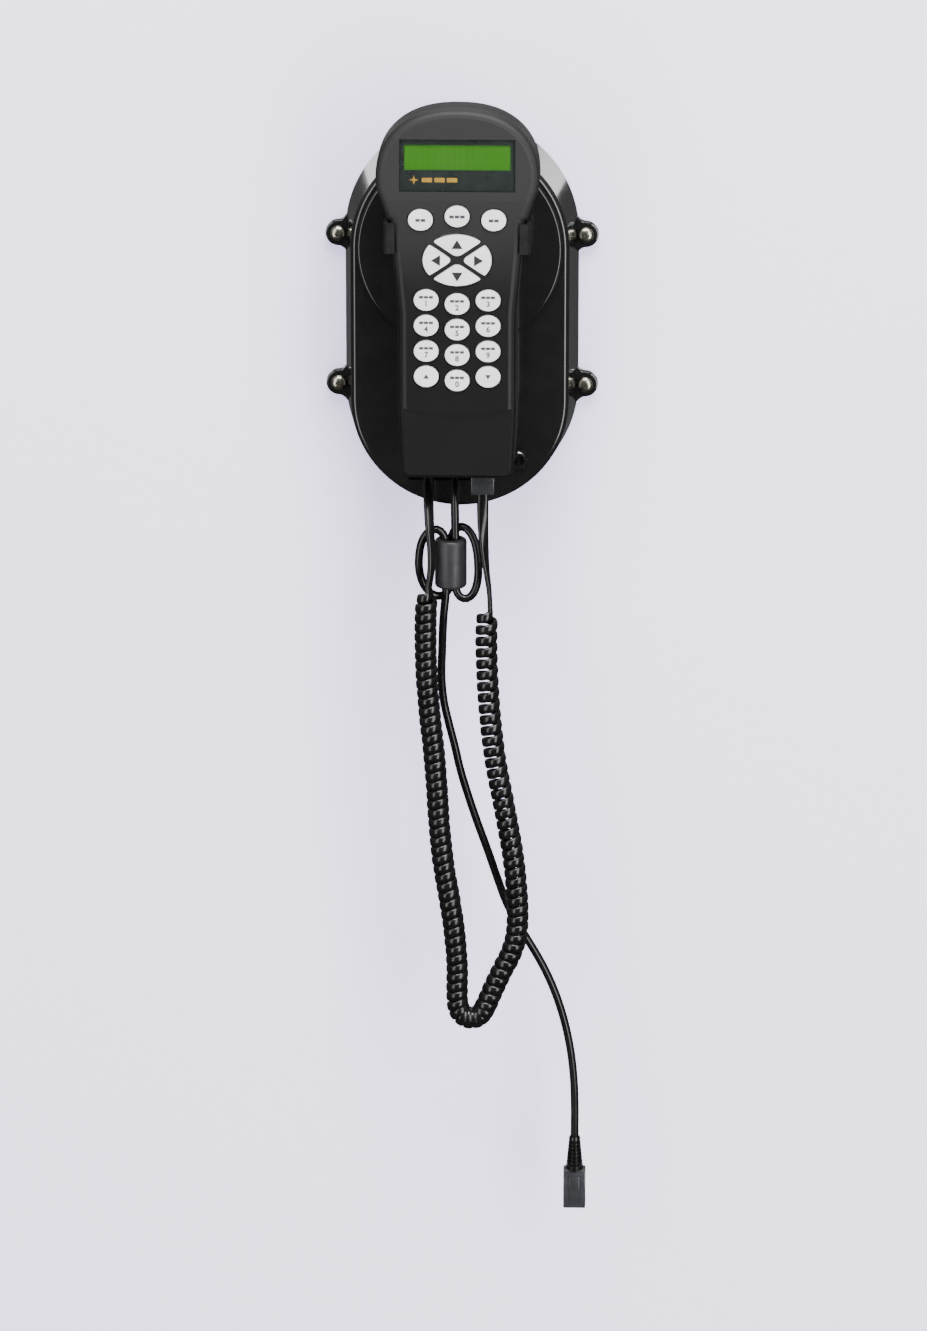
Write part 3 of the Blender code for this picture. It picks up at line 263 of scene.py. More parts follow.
class Finish:
    """A Principled material with colour, roughness and bump from procedural patterns in object space."""

    def __init__(self, name, roughness=0.5, **constants):
        self.made = bpy.data.materials.new(name)
        self.made.use_nodes = True
        self.nodes, self.links = self.made.node_tree.nodes, self.made.node_tree.links
        self.shader = self.nodes["Principled BSDF"]
        self.shader.inputs["Roughness"].default_value = roughness
        for socket, value in constants.items():
            self.shader.inputs[socket.replace("_", " ")].default_value = value
        self.place = self.nodes.new("ShaderNodeTexCoord").outputs["Object"]
        self.height = None

    def noise(self, scale, detail=3.0, stretch=None):
        pattern = self.nodes.new("ShaderNodeTexNoise")
        pattern.inputs["Scale"].default_value = scale
        pattern.inputs["Detail"].default_value = detail
        place = self.place
        if stretch:
            mapping = self.nodes.new("ShaderNodeMapping")
            mapping.inputs["Scale"].default_value = stretch
            self.links.new(place, mapping.inputs["Vector"])
            place = mapping.outputs["Vector"]
        self.links.new(place, pattern.inputs["Vector"])
        return pattern.outputs["Fac"]

    def rise(self, low, high, pattern, share):
        """0 to 1 between two heights, with a share of a pattern mixed in."""
        parts = self.nodes.new("ShaderNodeSeparateXYZ")
        self.links.new(self.place, parts.inputs[0])
        mapped = self.nodes.new("ShaderNodeMapRange")
        mapped.interpolation_type = "SMOOTHSTEP"
        mapped.inputs["From Min"].default_value = low
        mapped.inputs["From Max"].default_value = high
        self.links.new(parts.outputs["Z"], mapped.inputs["Value"])
        mix = self.nodes.new("ShaderNodeMix")
        mix.inputs["Factor"].default_value = share
        self.links.new(mapped.outputs["Result"], mix.inputs["A"])
        self.links.new(pattern, mix.inputs["B"])
        return mix.outputs["Result"]

    def cells(self, scale):
        pattern = self.nodes.new("ShaderNodeTexVoronoi")
        pattern.inputs["Scale"].default_value = scale
        self.links.new(self.place, pattern.inputs["Vector"])
        return pattern.outputs["Distance"]

    def ramp(self, value, *stops):
        """stops are (position, colour) pairs."""
        made = self.nodes.new("ShaderNodeValToRGB")
        ramp = made.color_ramp
        for i, (position, colour) in enumerate(stops):
            stop = ramp.elements[i] if i < 2 else ramp.elements.new(position)
            stop.position = position
            stop.color = (*colour, 1.0)
        self.links.new(value, made.inputs["Fac"])
        return made.outputs["Color"]

    def colour(self, value, *stops):
        self.links.new(self.ramp(value, *stops), self.shader.inputs["Base Color"])
        return self

    def rough(self, value, low, high):
        mapped = self.nodes.new("ShaderNodeMapRange")
        mapped.inputs["From Min"].default_value = 0.3
        mapped.inputs["From Max"].default_value = 0.7
        mapped.inputs["To Min"].default_value = low
        mapped.inputs["To Max"].default_value = high
        self.links.new(value, mapped.inputs["Value"])
        self.links.new(mapped.outputs["Result"], self.shader.inputs["Roughness"])
        return self

    def bump(self, value, distance, strength=1.0):
        made = self.nodes.new("ShaderNodeBump")
        made.inputs["Distance"].default_value = distance
        made.inputs["Strength"].default_value = strength
        self.links.new(value, made.inputs["Height"])
        if self.height:
            self.links.new(self.height, made.inputs["Normal"])
        self.height = made.outputs["Normal"]
        self.links.new(self.height, self.shader.inputs["Normal"])
        return self


def gloss_black():
    """Moulded gloss housing: near black, a faint long ripple, a little duller in places."""
    made = Finish("gloss_black", 0.08, Specular_IOR_Level=0.5, Coat_Weight=0.35, Coat_Roughness=0.04)
    made.colour(made.noise(90.0, 5.0), (0.35, (0.0062, 0.0062, 0.0065)), (0.75, (0.009, 0.009, 0.0095)))
    made.rough(made.noise(35.0, 3.0), 0.08, 0.15)
    made.bump(made.noise(14.0, 1.0), 0.00025, 0.08)
    return made.made


def case_grey():
    """Handset case: charcoal plastic with a fine grain. Its colour is painted light and shade, darker towards
    the bottom and lighter at the head, and it is smoother lower down where the hand polishes it.
    """
    made = Finish("case_grey", 0.5, Specular_IOR_Level=0.36)
    painted_light_and_polish = made.rise(0.0, 0.085, made.noise(60.0, 4.0), 0.2)
    # painted light and shade: the colour rises from dark at the bottom to lighter at the head, as light from
    # above falls on it
    made.colour(painted_light_and_polish, (0.05, (0.0046, 0.0045, 0.0044)), (0.95, (0.0125, 0.0125, 0.013)))
    made.rough(painted_light_and_polish, 0.36, 0.56)
    made.bump(made.noise(2600.0, 2.0), 0.00004, 0.5)
    made.bump(made.noise(700.0, 2.0), 0.00003, 0.25)
    return made.made


def plain(name, roughness, mottle, satin=None, grain=None, **constants):
    """A finish with a mottled colour and, where they are given, an uneven gloss and a fine grain.

    mottle is (scale, detail, darker, lighter), satin (scale, detail, smoothest, roughest) and grain
    (scale, detail, distance, strength).
    """
    made = Finish(name, roughness, **constants)
    scale, detail, dark, light = mottle
    made.colour(made.noise(scale, detail), (0.3, dark), (0.7, light))
    if satin:
        made.rough(made.noise(*satin[:2]), *satin[2:])
    if grain:
        made.bump(made.noise(*grain[:2]), *grain[2:])
    return made.made


def window_pane():
    """Clear acrylic pane: almost all light passes, and the surface keeps its gloss."""
    made = Finish("window_pane", 0.04, Specular_IOR_Level=0.5, Alpha=0.1)
    made.colour(made.noise(30.0, 2.0), (0.3, (0.02, 0.025, 0.02)), (0.7, (0.03, 0.035, 0.03)))
    made.rough(made.noise(60.0, 4.0), 0.03, 0.08)
    return made.made


def display_green():
    """Backlit character display: green, with the faint cells of its text."""
    made = Finish("display_green", 0.35)
    low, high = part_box("display_module")
    middle = (low + high) / 2
    nodes, links = made.nodes, made.links
    mapping = nodes.new("ShaderNodeMapping")
    mapping.inputs["Location"].default_value = (-middle.x, -middle.y, -middle.z)
    links.new(made.place, mapping.inputs["Vector"])
    parts = nodes.new("ShaderNodeSeparateXYZ")
    links.new(mapping.outputs["Vector"], parts.inputs[0])
    joined = nodes.new("ShaderNodeCombineXYZ")
    links.new(parts.outputs["X"], joined.inputs["X"])
    links.new(parts.outputs["Z"], joined.inputs["Y"])
    brick = nodes.new("ShaderNodeTexBrick")
    brick.offset = 0.0
    brick.inputs["Scale"].default_value = 1.0
    brick.inputs["Brick Width"].default_value = 3.2 * MM
    brick.inputs["Row Height"].default_value = 5.6 * MM
    brick.inputs["Mortar Size"].default_value = 0.3 * MM
    brick.inputs["Mortar Smooth"].default_value = 0.3
    brick.inputs["Color1"].default_value = (0.025, 0.135, 0.001, 1.0)
    brick.inputs["Color2"].default_value = (0.026, 0.139, 0.001, 1.0)
    brick.inputs["Mortar"].default_value = (0.031, 0.155, 0.002, 1.0)
    links.new(joined.outputs[0], brick.inputs["Vector"])
    links.new(brick.outputs["Color"], made.shader.inputs["Base Color"])
    links.new(brick.outputs["Color"], made.shader.inputs["Emission Color"])
    made.shader.inputs["Emission Strength"].default_value = 0.3
    made.rough(made.noise(90.0, 2.0), 0.3, 0.42)
    return made.made


def polished_steel():
    made = Finish("polished_steel", 0.3, Metallic=1.0)
    made.colour(made.noise(500.0, 4.0), (0.3, (0.33, 0.31, 0.255)), (0.7, (0.46, 0.435, 0.36)))
    made.rough(made.noise(900.0, 3.0), 0.2, 0.3)
    made.bump(made.noise(1400.0, 2.0, (1.0, 1.0, 0.15)), 0.00002, 0.3)
    return made.made


def plate_black():
    made = Finish("plate_black", 0.4, Metallic=0.2)
    made.colour(made.noise(40.0, 5.0), (0.3, (0.030, 0.030, 0.031)), (0.7, (0.045, 0.045, 0.046)))
    made.rough(made.noise(160.0, 4.0), 0.34, 0.5)
    made.bump(made.cells(900.0), 0.00004, 0.35)
    return made.made


def board_green():
    made = Finish("board_green", 0.4)
    made.colour(made.noise(220.0, 5.0), (0.42, (0.010, 0.075, 0.03)), (0.55, (0.02, 0.13, 0.055)))
    made.bump(made.noise(400.0, 2.0), 0.00005, 0.4)
    return made.made


def finishes():
    """One material for each slot in the record."""
    return {
        "dock_gloss": gloss_black(), "handset_case": case_grey(), "window": window_pane(),
        "display": display_green(), "screw": polished_steel(), "back_plate": plate_black(),
        "circuit_board": board_green(),
        "clip": plain("clip_black", 0.3, (80.0, 3.0, (0.009, 0.009, 0.009), (0.013, 0.013, 0.013)),
                      (240.0, 3.0, 0.24, 0.36), (1500.0, 2.0, 0.00003, 0.3), Specular_IOR_Level=0.5),
        "key_cap": plain("key_grey", 0.38, (120.0, 3.0, (0.80, 0.805, 0.81), (0.87, 0.875, 0.88)),
                         (200.0, 3.0, 0.34, 0.48), (1800.0, 2.0, 0.00002, 0.3), Specular_IOR_Level=0.4,
                         Subsurface_Weight=0.05, Subsurface_Radius=(0.002, 0.002, 0.002)),
        "mask": plain("window_mask", 0.3, (200.0, 2.0, (0.009, 0.013, 0.0125), (0.013, 0.018, 0.017)),
                      (150.0, 3.0, 0.25, 0.4)),
        "cord": plain("cord_black", 0.2, (150.0, 4.0, (0.003, 0.003, 0.0032), (0.006, 0.006, 0.0063)),
                      (260.0, 3.0, 0.14, 0.26), (1200.0, 2.0, 0.00003, 0.25), Specular_IOR_Level=0.45),
        "plug": plain("plug_smoke", 0.18, (150.0, 3.0, (0.030, 0.031, 0.034), (0.050, 0.052, 0.056)),
                      (200.0, 3.0, 0.12, 0.25), Specular_IOR_Level=0.6, Transmission_Weight=0.35, IOR=1.5),
        "ferrite": plain("ferrite_grey", 0.45, (180.0, 5.0, (0.012, 0.012, 0.0135), (0.020, 0.020, 0.022)),
                         (500.0, 3.0, 0.38, 0.55), (1600.0, 3.0, 0.00005, 0.5)),
        "socket": plain("socket_black", 0.4, (200.0, 3.0, (0.010, 0.010, 0.010), (0.016, 0.016, 0.016)),
                        (300.0, 3.0, 0.35, 0.5)),
        "key_mat": plain("mat_rubber", 0.65, (150.0, 3.0, (0.42, 0.42, 0.43), (0.5, 0.5, 0.51)),
                         grain=(900.0, 2.0, 0.00004, 0.4)),
    }


FINISH = finishes()
MARK_GREY = plain("mark_grey", 0.55, (900.0, 2.0, (0.030, 0.032, 0.037), (0.050, 0.053, 0.060)))
MARK_BLACK = plain("mark_black", 0.5, (900.0, 2.0, (0.008, 0.008, 0.008), (0.014, 0.014, 0.014)))
MARK_AMBER = plain("mark_amber", 0.45, (600.0, 2.0, (0.36, 0.20, 0.02), (0.44, 0.26, 0.03)))
GOLD = plain("contact_gold", 0.25, (700.0, 2.0, (0.75, 0.52, 0.2), (0.85, 0.6, 0.26)), Metallic=1.0)
NICKEL = plain("dark_nickel", 0.22, (500.0, 4.0, (0.10, 0.10, 0.10), (0.15, 0.148, 0.145)),
               (900.0, 3.0, 0.16, 0.3), Metallic=1.0)


def paint_cad_nodes():
    for row in frame["record"]["subparts"]:
        mesh = NODES[row["node"]].data
        mesh.materials.clear()
        mesh.materials.append(FINISH[row["material_slot"]])


# ---- mesh helpers ----

def piece(name, bm, finish, body, replaces=(), smooth_angle=35.0):
    bmesh.ops.recalc_face_normals(bm, faces=bm.faces)
    mesh = bpy.data.meshes.new(name)
    bm.to_mesh(mesh)
    bm.free()
    mesh.shade_smooth()
    mesh.set_sharp_from_angle(angle=math.radians(smooth_angle))
    mesh.materials.append(finish)
    made = bpy.data.objects.new(name, mesh)
    bpy.context.scene.collection.objects.link(made)
    if body:
        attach(made, body)
    if replaces:
        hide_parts(*replaces)
    return made


def centre_of(name):
    """The middle of a CAD node as seen from the front: (x, z)."""
    low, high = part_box(name)
    return (low.x + high.x) / 2, (low.z + high.z) / 2


def bridge(bm, loops, closed_ends=True):
    rows = [[bm.verts.new(p) for p in loop] for loop in loops]
    for one, two in zip(rows, rows[1:]):
        for i in range(len(one)):
            j = (i + 1) % len(one)
            bm.faces.new((one[i], one[j], two[j], two[i]))
    if closed_ends:
        bm.faces.new(rows[0])
        bm.faces.new(list(reversed(rows[-1])))
    return rows


def oval(a, b, sides=48):
    turn = 2 * math.pi / sides
    return [(a * math.cos(i * turn), b * math.sin(i * turn)) for i in range(sides)]


def add_turned_y(bm, centre, profile, sides=40):
    """A body turned about the Y axis through centre: profile is (radius, y)."""
    loops = [[(centre[0] + x, y, centre[1] + z) for x, z in oval(r, r, sides)] for r, y in profile]
    bridge(bm, loops)


def add_turned_z(bm, centre, profile, sides=40):
    """A body turned about the vertical axis through centre: profile is (radius, z)."""
    loops = [[(centre[0] + x, centre[1] + y, z) for x, y in oval(r, r, sides)] for r, z in profile]
    bridge(bm, loops)


def add_block(bm, low, high, bevel=0.0, segments=2):
    part = bmesh.new()
    corners = [(x, y, z) for x in (low[0], high[0]) for y in (low[1], high[1]) for z in (low[2], high[2])]
    verts = [part.verts.new(c) for c in corners]
    for face in ((0, 1, 3, 2), (4, 6, 7, 5), (0, 4, 5, 1), (2, 3, 7, 6), (0, 2, 6, 4), (1, 5, 7, 3)):
        part.faces.new([verts[i] for i in face])
    if bevel:
        bmesh.ops.bevel(part, geom=list(part.edges), offset=bevel, segments=segments, affect="EDGES",
                        profile=0.5)
    bmesh.ops.recalc_face_normals(part, faces=part.faces)
    mesh = bpy.data.meshes.new("part")
    part.to_mesh(mesh)
    part.free()
    bm.from_mesh(mesh)
    bpy.data.meshes.remove(mesh)


def combine(target, bm, operation):
    """Joins the shape in bm to target's mesh, or cuts it out, for good."""
    mesh = bpy.data.meshes.new("cutter")
    bmesh.ops.recalc_face_normals(bm, faces=bm.faces)
    bm.to_mesh(mesh)
    bm.free()
    tool = bpy.data.objects.new("cutter", mesh)
    bpy.context.scene.collection.objects.link(tool)
    modifier = target.modifiers.new("cut", "BOOLEAN")
    modifier.operation = operation
    modifier.solver = "EXACT"
    modifier.use_self = True
    modifier.object = tool
    bpy.context.view_layer.update()
    made = bpy.data.meshes.new_from_object(target.evaluated_get(bpy.context.evaluated_depsgraph_get()))
    target.modifiers.remove(modifier)
    target.data = made
    made.shade_smooth()
    made.set_sharp_from_angle(angle=math.radians(35.0))
    bpy.data.objects.remove(tool)


# ---- keys and their marks ----

def key_body(name):
    return f"{name}_cap"


def key_profile():
    """(scale across, y) rings from the flange's back to the top of the dome."""
    edge = FRONT - 1.0 * MM
    rings = [(1.0, FRONT + 2.5 * MM), (1.0, edge)]
    steps = 5
    for i in range(1, steps + 1):
        angle = math.radians(90.0 * i / steps)
        rings.append((1.0 - 0.09 * (1 - math.cos(angle)), edge - 0.36 * MM * math.sin(angle)))
    for share in (0.72, 0.5, 0.28, 0.08):
        rings.append((share, KEY_TOP + (edge - 0.36 * MM - KEY_TOP) * (share / 0.91) ** 2))
    return rings


def key_piece(name, outline):
    x0, z0 = centre_of(name)
    loops = [[(x0 + x * s, y, z0 + z * s) for x, z in outline] for s, y in key_profile()]
    bm = bmesh.new()
    bridge(bm, loops)
    piece(f"{name}_skin", bm, FINISH["key_cap"], key_body(name), [name], smooth_angle=50.0)


FLANGE = 0.8 * MM  # how far a key's flange stands out to each side, behind the case
KEY_TRIM = (0.5 * MM, 0.55 * MM)  # the round caps' extra clearance in their holes, across and up
ARROW_TRIM = (0.3 * MM, 0.85 * MM)  # the same for the big oval of the four arrow keys


def keys():
    arrows = {"key_up": (0, 1), "key_down": (0, -1), "key_left": (-1, 0), "key_right": (1, 0)}
    for name in KEY_NAMES:
        low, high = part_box(name)
        if name in arrows:
            key_piece(name, petal(name, *arrows[name]))
        else:
            key_piece(name, oval((high.x - low.x) / 2 - FLANGE - KEY_TRIM[0],
                                 (high.z - low.z) / 2 - KEY_TRIM[1]))


def petal(name, side, up):
    """An arrow key's outline about its own middle: a piece of the big oval between two arms of the X."""
    bottom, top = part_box("key_down")[0].z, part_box("key_up")[1].z
    left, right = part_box("key_left")[0].x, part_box("key_right")[1].x
    low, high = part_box(name)
    b = (top - bottom) / 2 - ARROW_TRIM[1]
    a = (right - left) / 2 - FLANGE - ARROW_TRIM[0]
    slot, slope = 1.2 * MM, math.radians(34.0)
    upright = up != 0
    angle = slope if upright else math.pi / 2 - slope
    along, across = (b, a) if upright else (a, b)
    apex = slot / math.cos(angle)
    reach = 0.0
    while math.tan(angle) * reach + apex < along * math.sqrt(1 - (reach / across) ** 2):
        reach += across / 4000
    limit = math.asin(reach / across)
    count = 25
    corners = [(0.0, apex, True)]
    for i in range(count):
        turn = limit * (1 - 2 * i / (count - 1))
        corners.append((across * math.sin(turn), along * math.cos(turn), i in (0, count - 1)))
    points = rounded(corners, 3.2 * MM, 8)
    sign = up if upright else side
    placed = [(x, sign * z) if upright else (sign * z, x) for x, z in points]
    x0 = (low.x + high.x - left - right) / 2
    z0 = (low.z + high.z - bottom - top) / 2
    return [(x - x0, z - z0) for x, z in placed]


def rounded(corners, radius, steps):
    """The polygon with its marked corners cut to short curves. corners are (x, z, round it or not)."""
    made = []
    count = len(corners)
    for i, (x, z, cut) in enumerate(corners):
        if not cut:
            made.append((x, z))
            continue
        here = Vector((x, z))
        before, after = Vector(corners[i - 1][:2]), Vector(corners[(i + 1) % count][:2])
        one, two = here - before, after - here
        start = here - one.normalized() * min(radius, one.length * 0.45)
        end = here + two.normalized() * min(radius, two.length * 0.45)
        for step in range(steps + 1):
            t = step / steps
            point = start * (1 - t) ** 2 + here * 2 * t * (1 - t) + end * t * t
            made.append((point.x, point.y))
    return made


def add_flat(bm, outline, x0, z0, y, thick=0.05 * MM):
    """A thin raised print on the surface at y. outline is a loop of (x, z) points about (x0, z0)."""
    loops = [[(x0 + x, depth, z0 + z) for x, z in outline] for depth in (y + thick, y - thick / 2)]
    bridge(bm, loops)


def add_digit(bm, text, x0, z0, y, size):
    """A digit as a thin raised print, centred on (x0, z0)."""
    curve = bpy.data.curves.new("digit", "FONT")
    curve.body = text
    curve.size = size
    curve.align_x, curve.align_y = "CENTER", "CENTER"
    curve.extrude = 0.04 * MM
    curve.offset = 0.1 * MM
    curve.resolution_u = 3
    temporary = bpy.data.objects.new("digit", curve)
    bpy.context.scene.collection.objects.link(temporary)
    temporary.rotation_euler.x = math.radians(90.0)
    temporary.location = (x0, y, z0)
    bpy.context.view_layer.update()
    mesh = bpy.data.meshes.new_from_object(temporary.evaluated_get(bpy.context.evaluated_depsgraph_get()))
    mesh.transform(temporary.matrix_world)
    bm.from_mesh(mesh)
    bpy.data.objects.remove(temporary)
    bpy.data.meshes.remove(mesh)


def triangle(size, direction):
    points = [(-0.6 * size, -0.45 * size), (0.6 * size, -0.45 * size), (0.0, 0.55 * size)]
    turn = {"up": 0, "left": 1, "down": 2, "right": 3}[direction]
    for _ in range(turn):
        points = [(-z, x) for x, z in points]
    return points


def bar(width, height):
    x, z = width / 2, height / 2
    return [(-x, -z), (x, -z), (x, z), (-x, z)]


def mark_key(name, build, finish):
    bm = bmesh.new()
    build(bm, *centre_of(name), KEY_TOP)
    piece(f"{name}_mark", bm, finish, key_body(name))


def marks():
    """Printed signs: a digit under three bars on each number key, triangles on arrows, bars on the rest."""
    for digit in "0123456789":
        def number(bm, x, z, y, digit=digit):
            add_digit(bm, digit, x, z - 1.75 * MM, y, 4.0 * MM)
            for k in (-1, 0, 1):
                add_flat(bm, bar(2.1 * MM, 1.3 * MM), x + k * 2.45 * MM, z + 1.7 * MM, y)
        mark_key(f"key_{digit}", number, MARK_GREY)
    for way in ("up", "down", "left", "right"):
        def arrow(bm, x, z, y, way=way):
            add_flat(bm, triangle(4.7 * MM, way), x, z, y)
        mark_key(f"key_{way}", arrow, MARK_BLACK)
    for way in ("up", "down"):
        def scroll(bm, x, z, y, way=way):
            add_flat(bm, triangle(2.4 * MM, way), x, z + 0.2 * MM, y)
        mark_key(f"key_scroll_{way}", scroll, MARK_GREY)
    signs = {"key_back": (-1, 0), "key_menu": (-1, 0, 1), "key_enter": (0, 1)}
    for name, places in signs.items():
        def sign(bm, x, z, y, places=places):
            for k in places:
                add_flat(bm, bar(2.3 * MM, 1.5 * MM), x + k * 2.7 * MM - sum(places) * 1.35 * MM, z, y)
        mark_key(name, sign, MARK_GREY)


# ---- display ----

def window_mark():
    """A small amber star and three bars on the window's black border, behind the pane."""
    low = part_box("display_mask")[0]
    lean = math.radians(7.0)
    bm = bmesh.new()
    star = []
    for i in range(8):
        radius = 2.3 * MM if i % 2 == 0 else 0.8 * MM
        star.append((radius * math.sin(math.pi * i / 4), radius * math.cos(math.pi * i / 4)))
    level = low.z + 5.6 * MM
    add_flat(bm, star, low.x + 7.0 * MM, level, 0.0)
    for k in range(3):
        add_flat(bm, bar(5.2 * MM, 2.2 * MM), low.x + (13.6 + 6.3 * k) * MM, level, 0.0)
    drop = low.y + (level - low.z) * math.tan(lean) - 0.03 * MM
    for vert in bm.verts:
        vert.co.y += drop + (vert.co.z - level) * math.tan(lean)
    piece("window_mark", bm, MARK_AMBER, "handset")


# ---- dock cover ----

def stadium(r, sides=48):
    """An oval outline with straight sides: each end in sides steps, each straight in four."""
    points = []
    for end in (1, -1):
        for i in range(sides + 1):
            angle = math.pi * i / sides
            points.append((end * r * math.cos(angle), end * (DOCK_HALF_STRAIGHT + r * math.sin(angle))))
        for k in (1, 2, 3):
            points.append((-end * r, end * DOCK_HALF_STRAIGHT * (1 - k / 2)))
    return points


def quarter_edge(r, y, size, steps=8):
    """(radius, y) rings of a rounded edge that ends on the flat face at y."""
    rings = []
    for i in range(steps + 1):
        angle = math.radians(90.0 * i / steps)
        rings.append((r - size * (1 - math.cos(angle)), y + size * (1 - math.sin(angle))))
    return rings


def lug_outline(side, level, radius):
    """A lug's outline: half a circle whose flanks curve out into the wall."""
    x, z = side * LUG_AT[0], level * LUG_AT[1]
    root, bend = side * (DOCK_R - 1.5 * MM), side * (DOCK_R + 0.8 * MM)
    flank = []
    for i in range(7):
        t = i / 7
        flank.append((root * (1 - t) ** 2 + bend * 2 * t * (1 - t) + x * t * t,
                      LUG_ROOT * (1 - t) ** 2 + (radius + 0.2 * MM) * 2 * t * (1 - t) + radius * t * t))
    outline = [(along, z - side * height) for along, height in flank]
    for i in range(25):
        angle = math.radians(-90.0 + 180.0 * i / 24)
        outline.append((x + side * radius * math.cos(angle), z + side * radius * math.sin(angle)))
    return outline + [(along, z + side * height) for along, height in flank[::-1]]


def mark_flat_faces_sharp(mesh):
    """Keeps the flat front faces flat where rounded edges run into them."""
    bm = bmesh.new()
    bm.from_mesh(mesh)
    for edge in bm.edges:
        flats = [abs(face.normal.y) > 0.9999 for face in edge.link_faces]
        if any(flats) and not all(flats):
            edge.smooth = False
    bm.to_mesh(mesh)
    bm.free()


def dock_cover():
    """The gloss housing with smooth round ends, drum face, lugs, recess and holes."""
    drum_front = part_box("dock_cover")[0].y
    bm = bmesh.new()
    outer = [(DOCK_R, 0.0)] + quarter_edge(DOCK_LEAN_R, DOCK_FRONT, DOCK_EDGE)
    ceiling = DOCK_FRONT + DOCK_WALL
    inner = [(DOCK_LEAN_R - DOCK_EDGE, ceiling), (DOCK_LEAN_R - DOCK_WALL, ceiling + DOCK_EDGE),
             (DOCK_R - DOCK_WALL, 0.0)]
    outer_rows = bridge(bm, [[(x, y, z) for x, z in stadium(r)] for r, y in outer], False)
    inner_rows = bridge(bm, [[(x, y, z) for x, z in stadium(r)] for r, y in inner], False)
    bm.faces.new(outer_rows[-1])
    bm.faces.new(inner_rows[0])
    for i in range(len(outer_rows[0])):
        j = (i + 1) % len(outer_rows[0])
        bm.faces.new((inner_rows[-1][i], inner_rows[-1][j], outer_rows[0][j], outer_rows[0][i]))
    cover = piece("dock_cover_skin", bm, FINISH["dock_gloss"], "dock", ["dock_cover"])

    drum = bmesh.new()
    rings = [(DRUM_R, DOCK_FRONT + 1.5 * MM)] + quarter_edge(DRUM_R, drum_front, 1.2 * MM, 6)
    add_turned_y(drum, (0.0, DOCK_HALF_STRAIGHT), rings, 96)
    combine(cover, drum, "UNION")
    lugs = bmesh.new()
    for side in (-1, 1):
        for level in (-1, 1):
            layers = [(LUG_R, 0.0), (LUG_R, 0.7 * MM - LUG_THICK), (LUG_R - 0.2 * MM, 0.2 * MM - LUG_THICK),
                      (LUG_R - 0.7 * MM, -LUG_THICK)]
            bridge(lugs, [[(x, y, z) for x, z in lug_outline(side, level, r)] for r, y in layers])
    combine(cover, lugs, "UNION")
    wall = 2.0 * MM
    sleeve = bmesh.new()
    add_block(sleeve, (RECESS_X[0] - wall, DOCK_FRONT + 1.0 * MM, RECESS_Z[0] - wall),
              (RECESS_X[1] + wall, RECESS_BACK + wall, RECESS_Z[1] + wall))
    combine(cover, sleeve, "UNION")

    cuts = bmesh.new()
    add_block(cuts, (RECESS_X[0], DOCK_FRONT - 6 * MM, RECESS_Z[0]), (RECESS_X[1], RECESS_BACK, RECESS_Z[1]))
    for number in range(1, 5):
        add_turned_y(cuts, centre_of(f"dock_screw_{number}"), [(2.3 * MM, 1 * MM), (2.3 * MM, -6 * MM)], 24)
    add_turned_y(cuts, centre_of("power_socket"),
                 [(4.3 * MM, DOCK_FRONT - 1 * MM), (4.3 * MM, DOCK_FRONT + 4 * MM)], 32)
    for number in (1, 2):
        add_turned_y(cuts, centre_of(f"clip_screw_{number}"),
                     [(1.8 * MM, drum_front - 1 * MM), (1.8 * MM, DOCK_FRONT + 4 * MM)], 24)
    combine(cover, cuts, "DIFFERENCE")
    for name in ("dock_lead_socket", "dock_drive_socket"):
        low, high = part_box(name)
        mouth = bmesh.new()
        add_block(mouth, (low.x + 0.8 * MM, low.y + 0.8 * MM, RECESS_Z[1] - 1 * MM),
                  (high.x - 0.8 * MM, high.y - 0.8 * MM, RECESS_Z[1] + 3 * MM))
        combine(cover, mouth, "DIFFERENCE")
    mark_flat_faces_sharp(cover.data)


# ---- screws, plugs, ferrite ----

def dock_screws():
    for number in range(1, 5):
        name = f"dock_screw_{number}"
        low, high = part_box(name)
        centre = centre_of(name)
        seat, top, radius = high.y - 4.1 * MM, low.y, (high.x - low.x) / 2
        dome_foot = seat - 0.9 * MM
        bm = bmesh.new()
        steps = 8
        dome = [(radius * math.cos(math.radians(82.0 * i / steps)),
                 dome_foot - (dome_foot - top) * math.sin(math.radians(90.0 * i / steps)))
                for i in range(steps + 1)]
        profile = [(1.9 * MM, high.y), (1.9 * MM, seat), (radius, seat), (radius, seat - 0.5 * MM)] + dome
        add_turned_y(bm, centre, profile, 32)
        screw = piece(f"{name}_head", bm, FINISH["screw"], "dock", [name])
        cross = bmesh.new()
        for width, height in ((3.6 * MM, 0.8 * MM), (0.8 * MM, 3.6 * MM)):
            add_block(cross, (centre[0] - width / 2, top - 1 * MM, centre[1] - height / 2),
                      (centre[0] + width / 2, top + 1.3 * MM, centre[1] + height / 2))
        combine(screw, cross, "DIFFERENCE")


def add_contacts(bm, x, y_from, y_to, z_from, z_to):
    """The eight contacts in the nose of a modular plug."""
    pitch, half = 1.02 * MM, 0.18 * MM
    for k in range(8):
        at = x + (k - 3.5) * pitch
        add_block(bm, (at - half, y_from, z_from), (at + half, y_to, z_to))


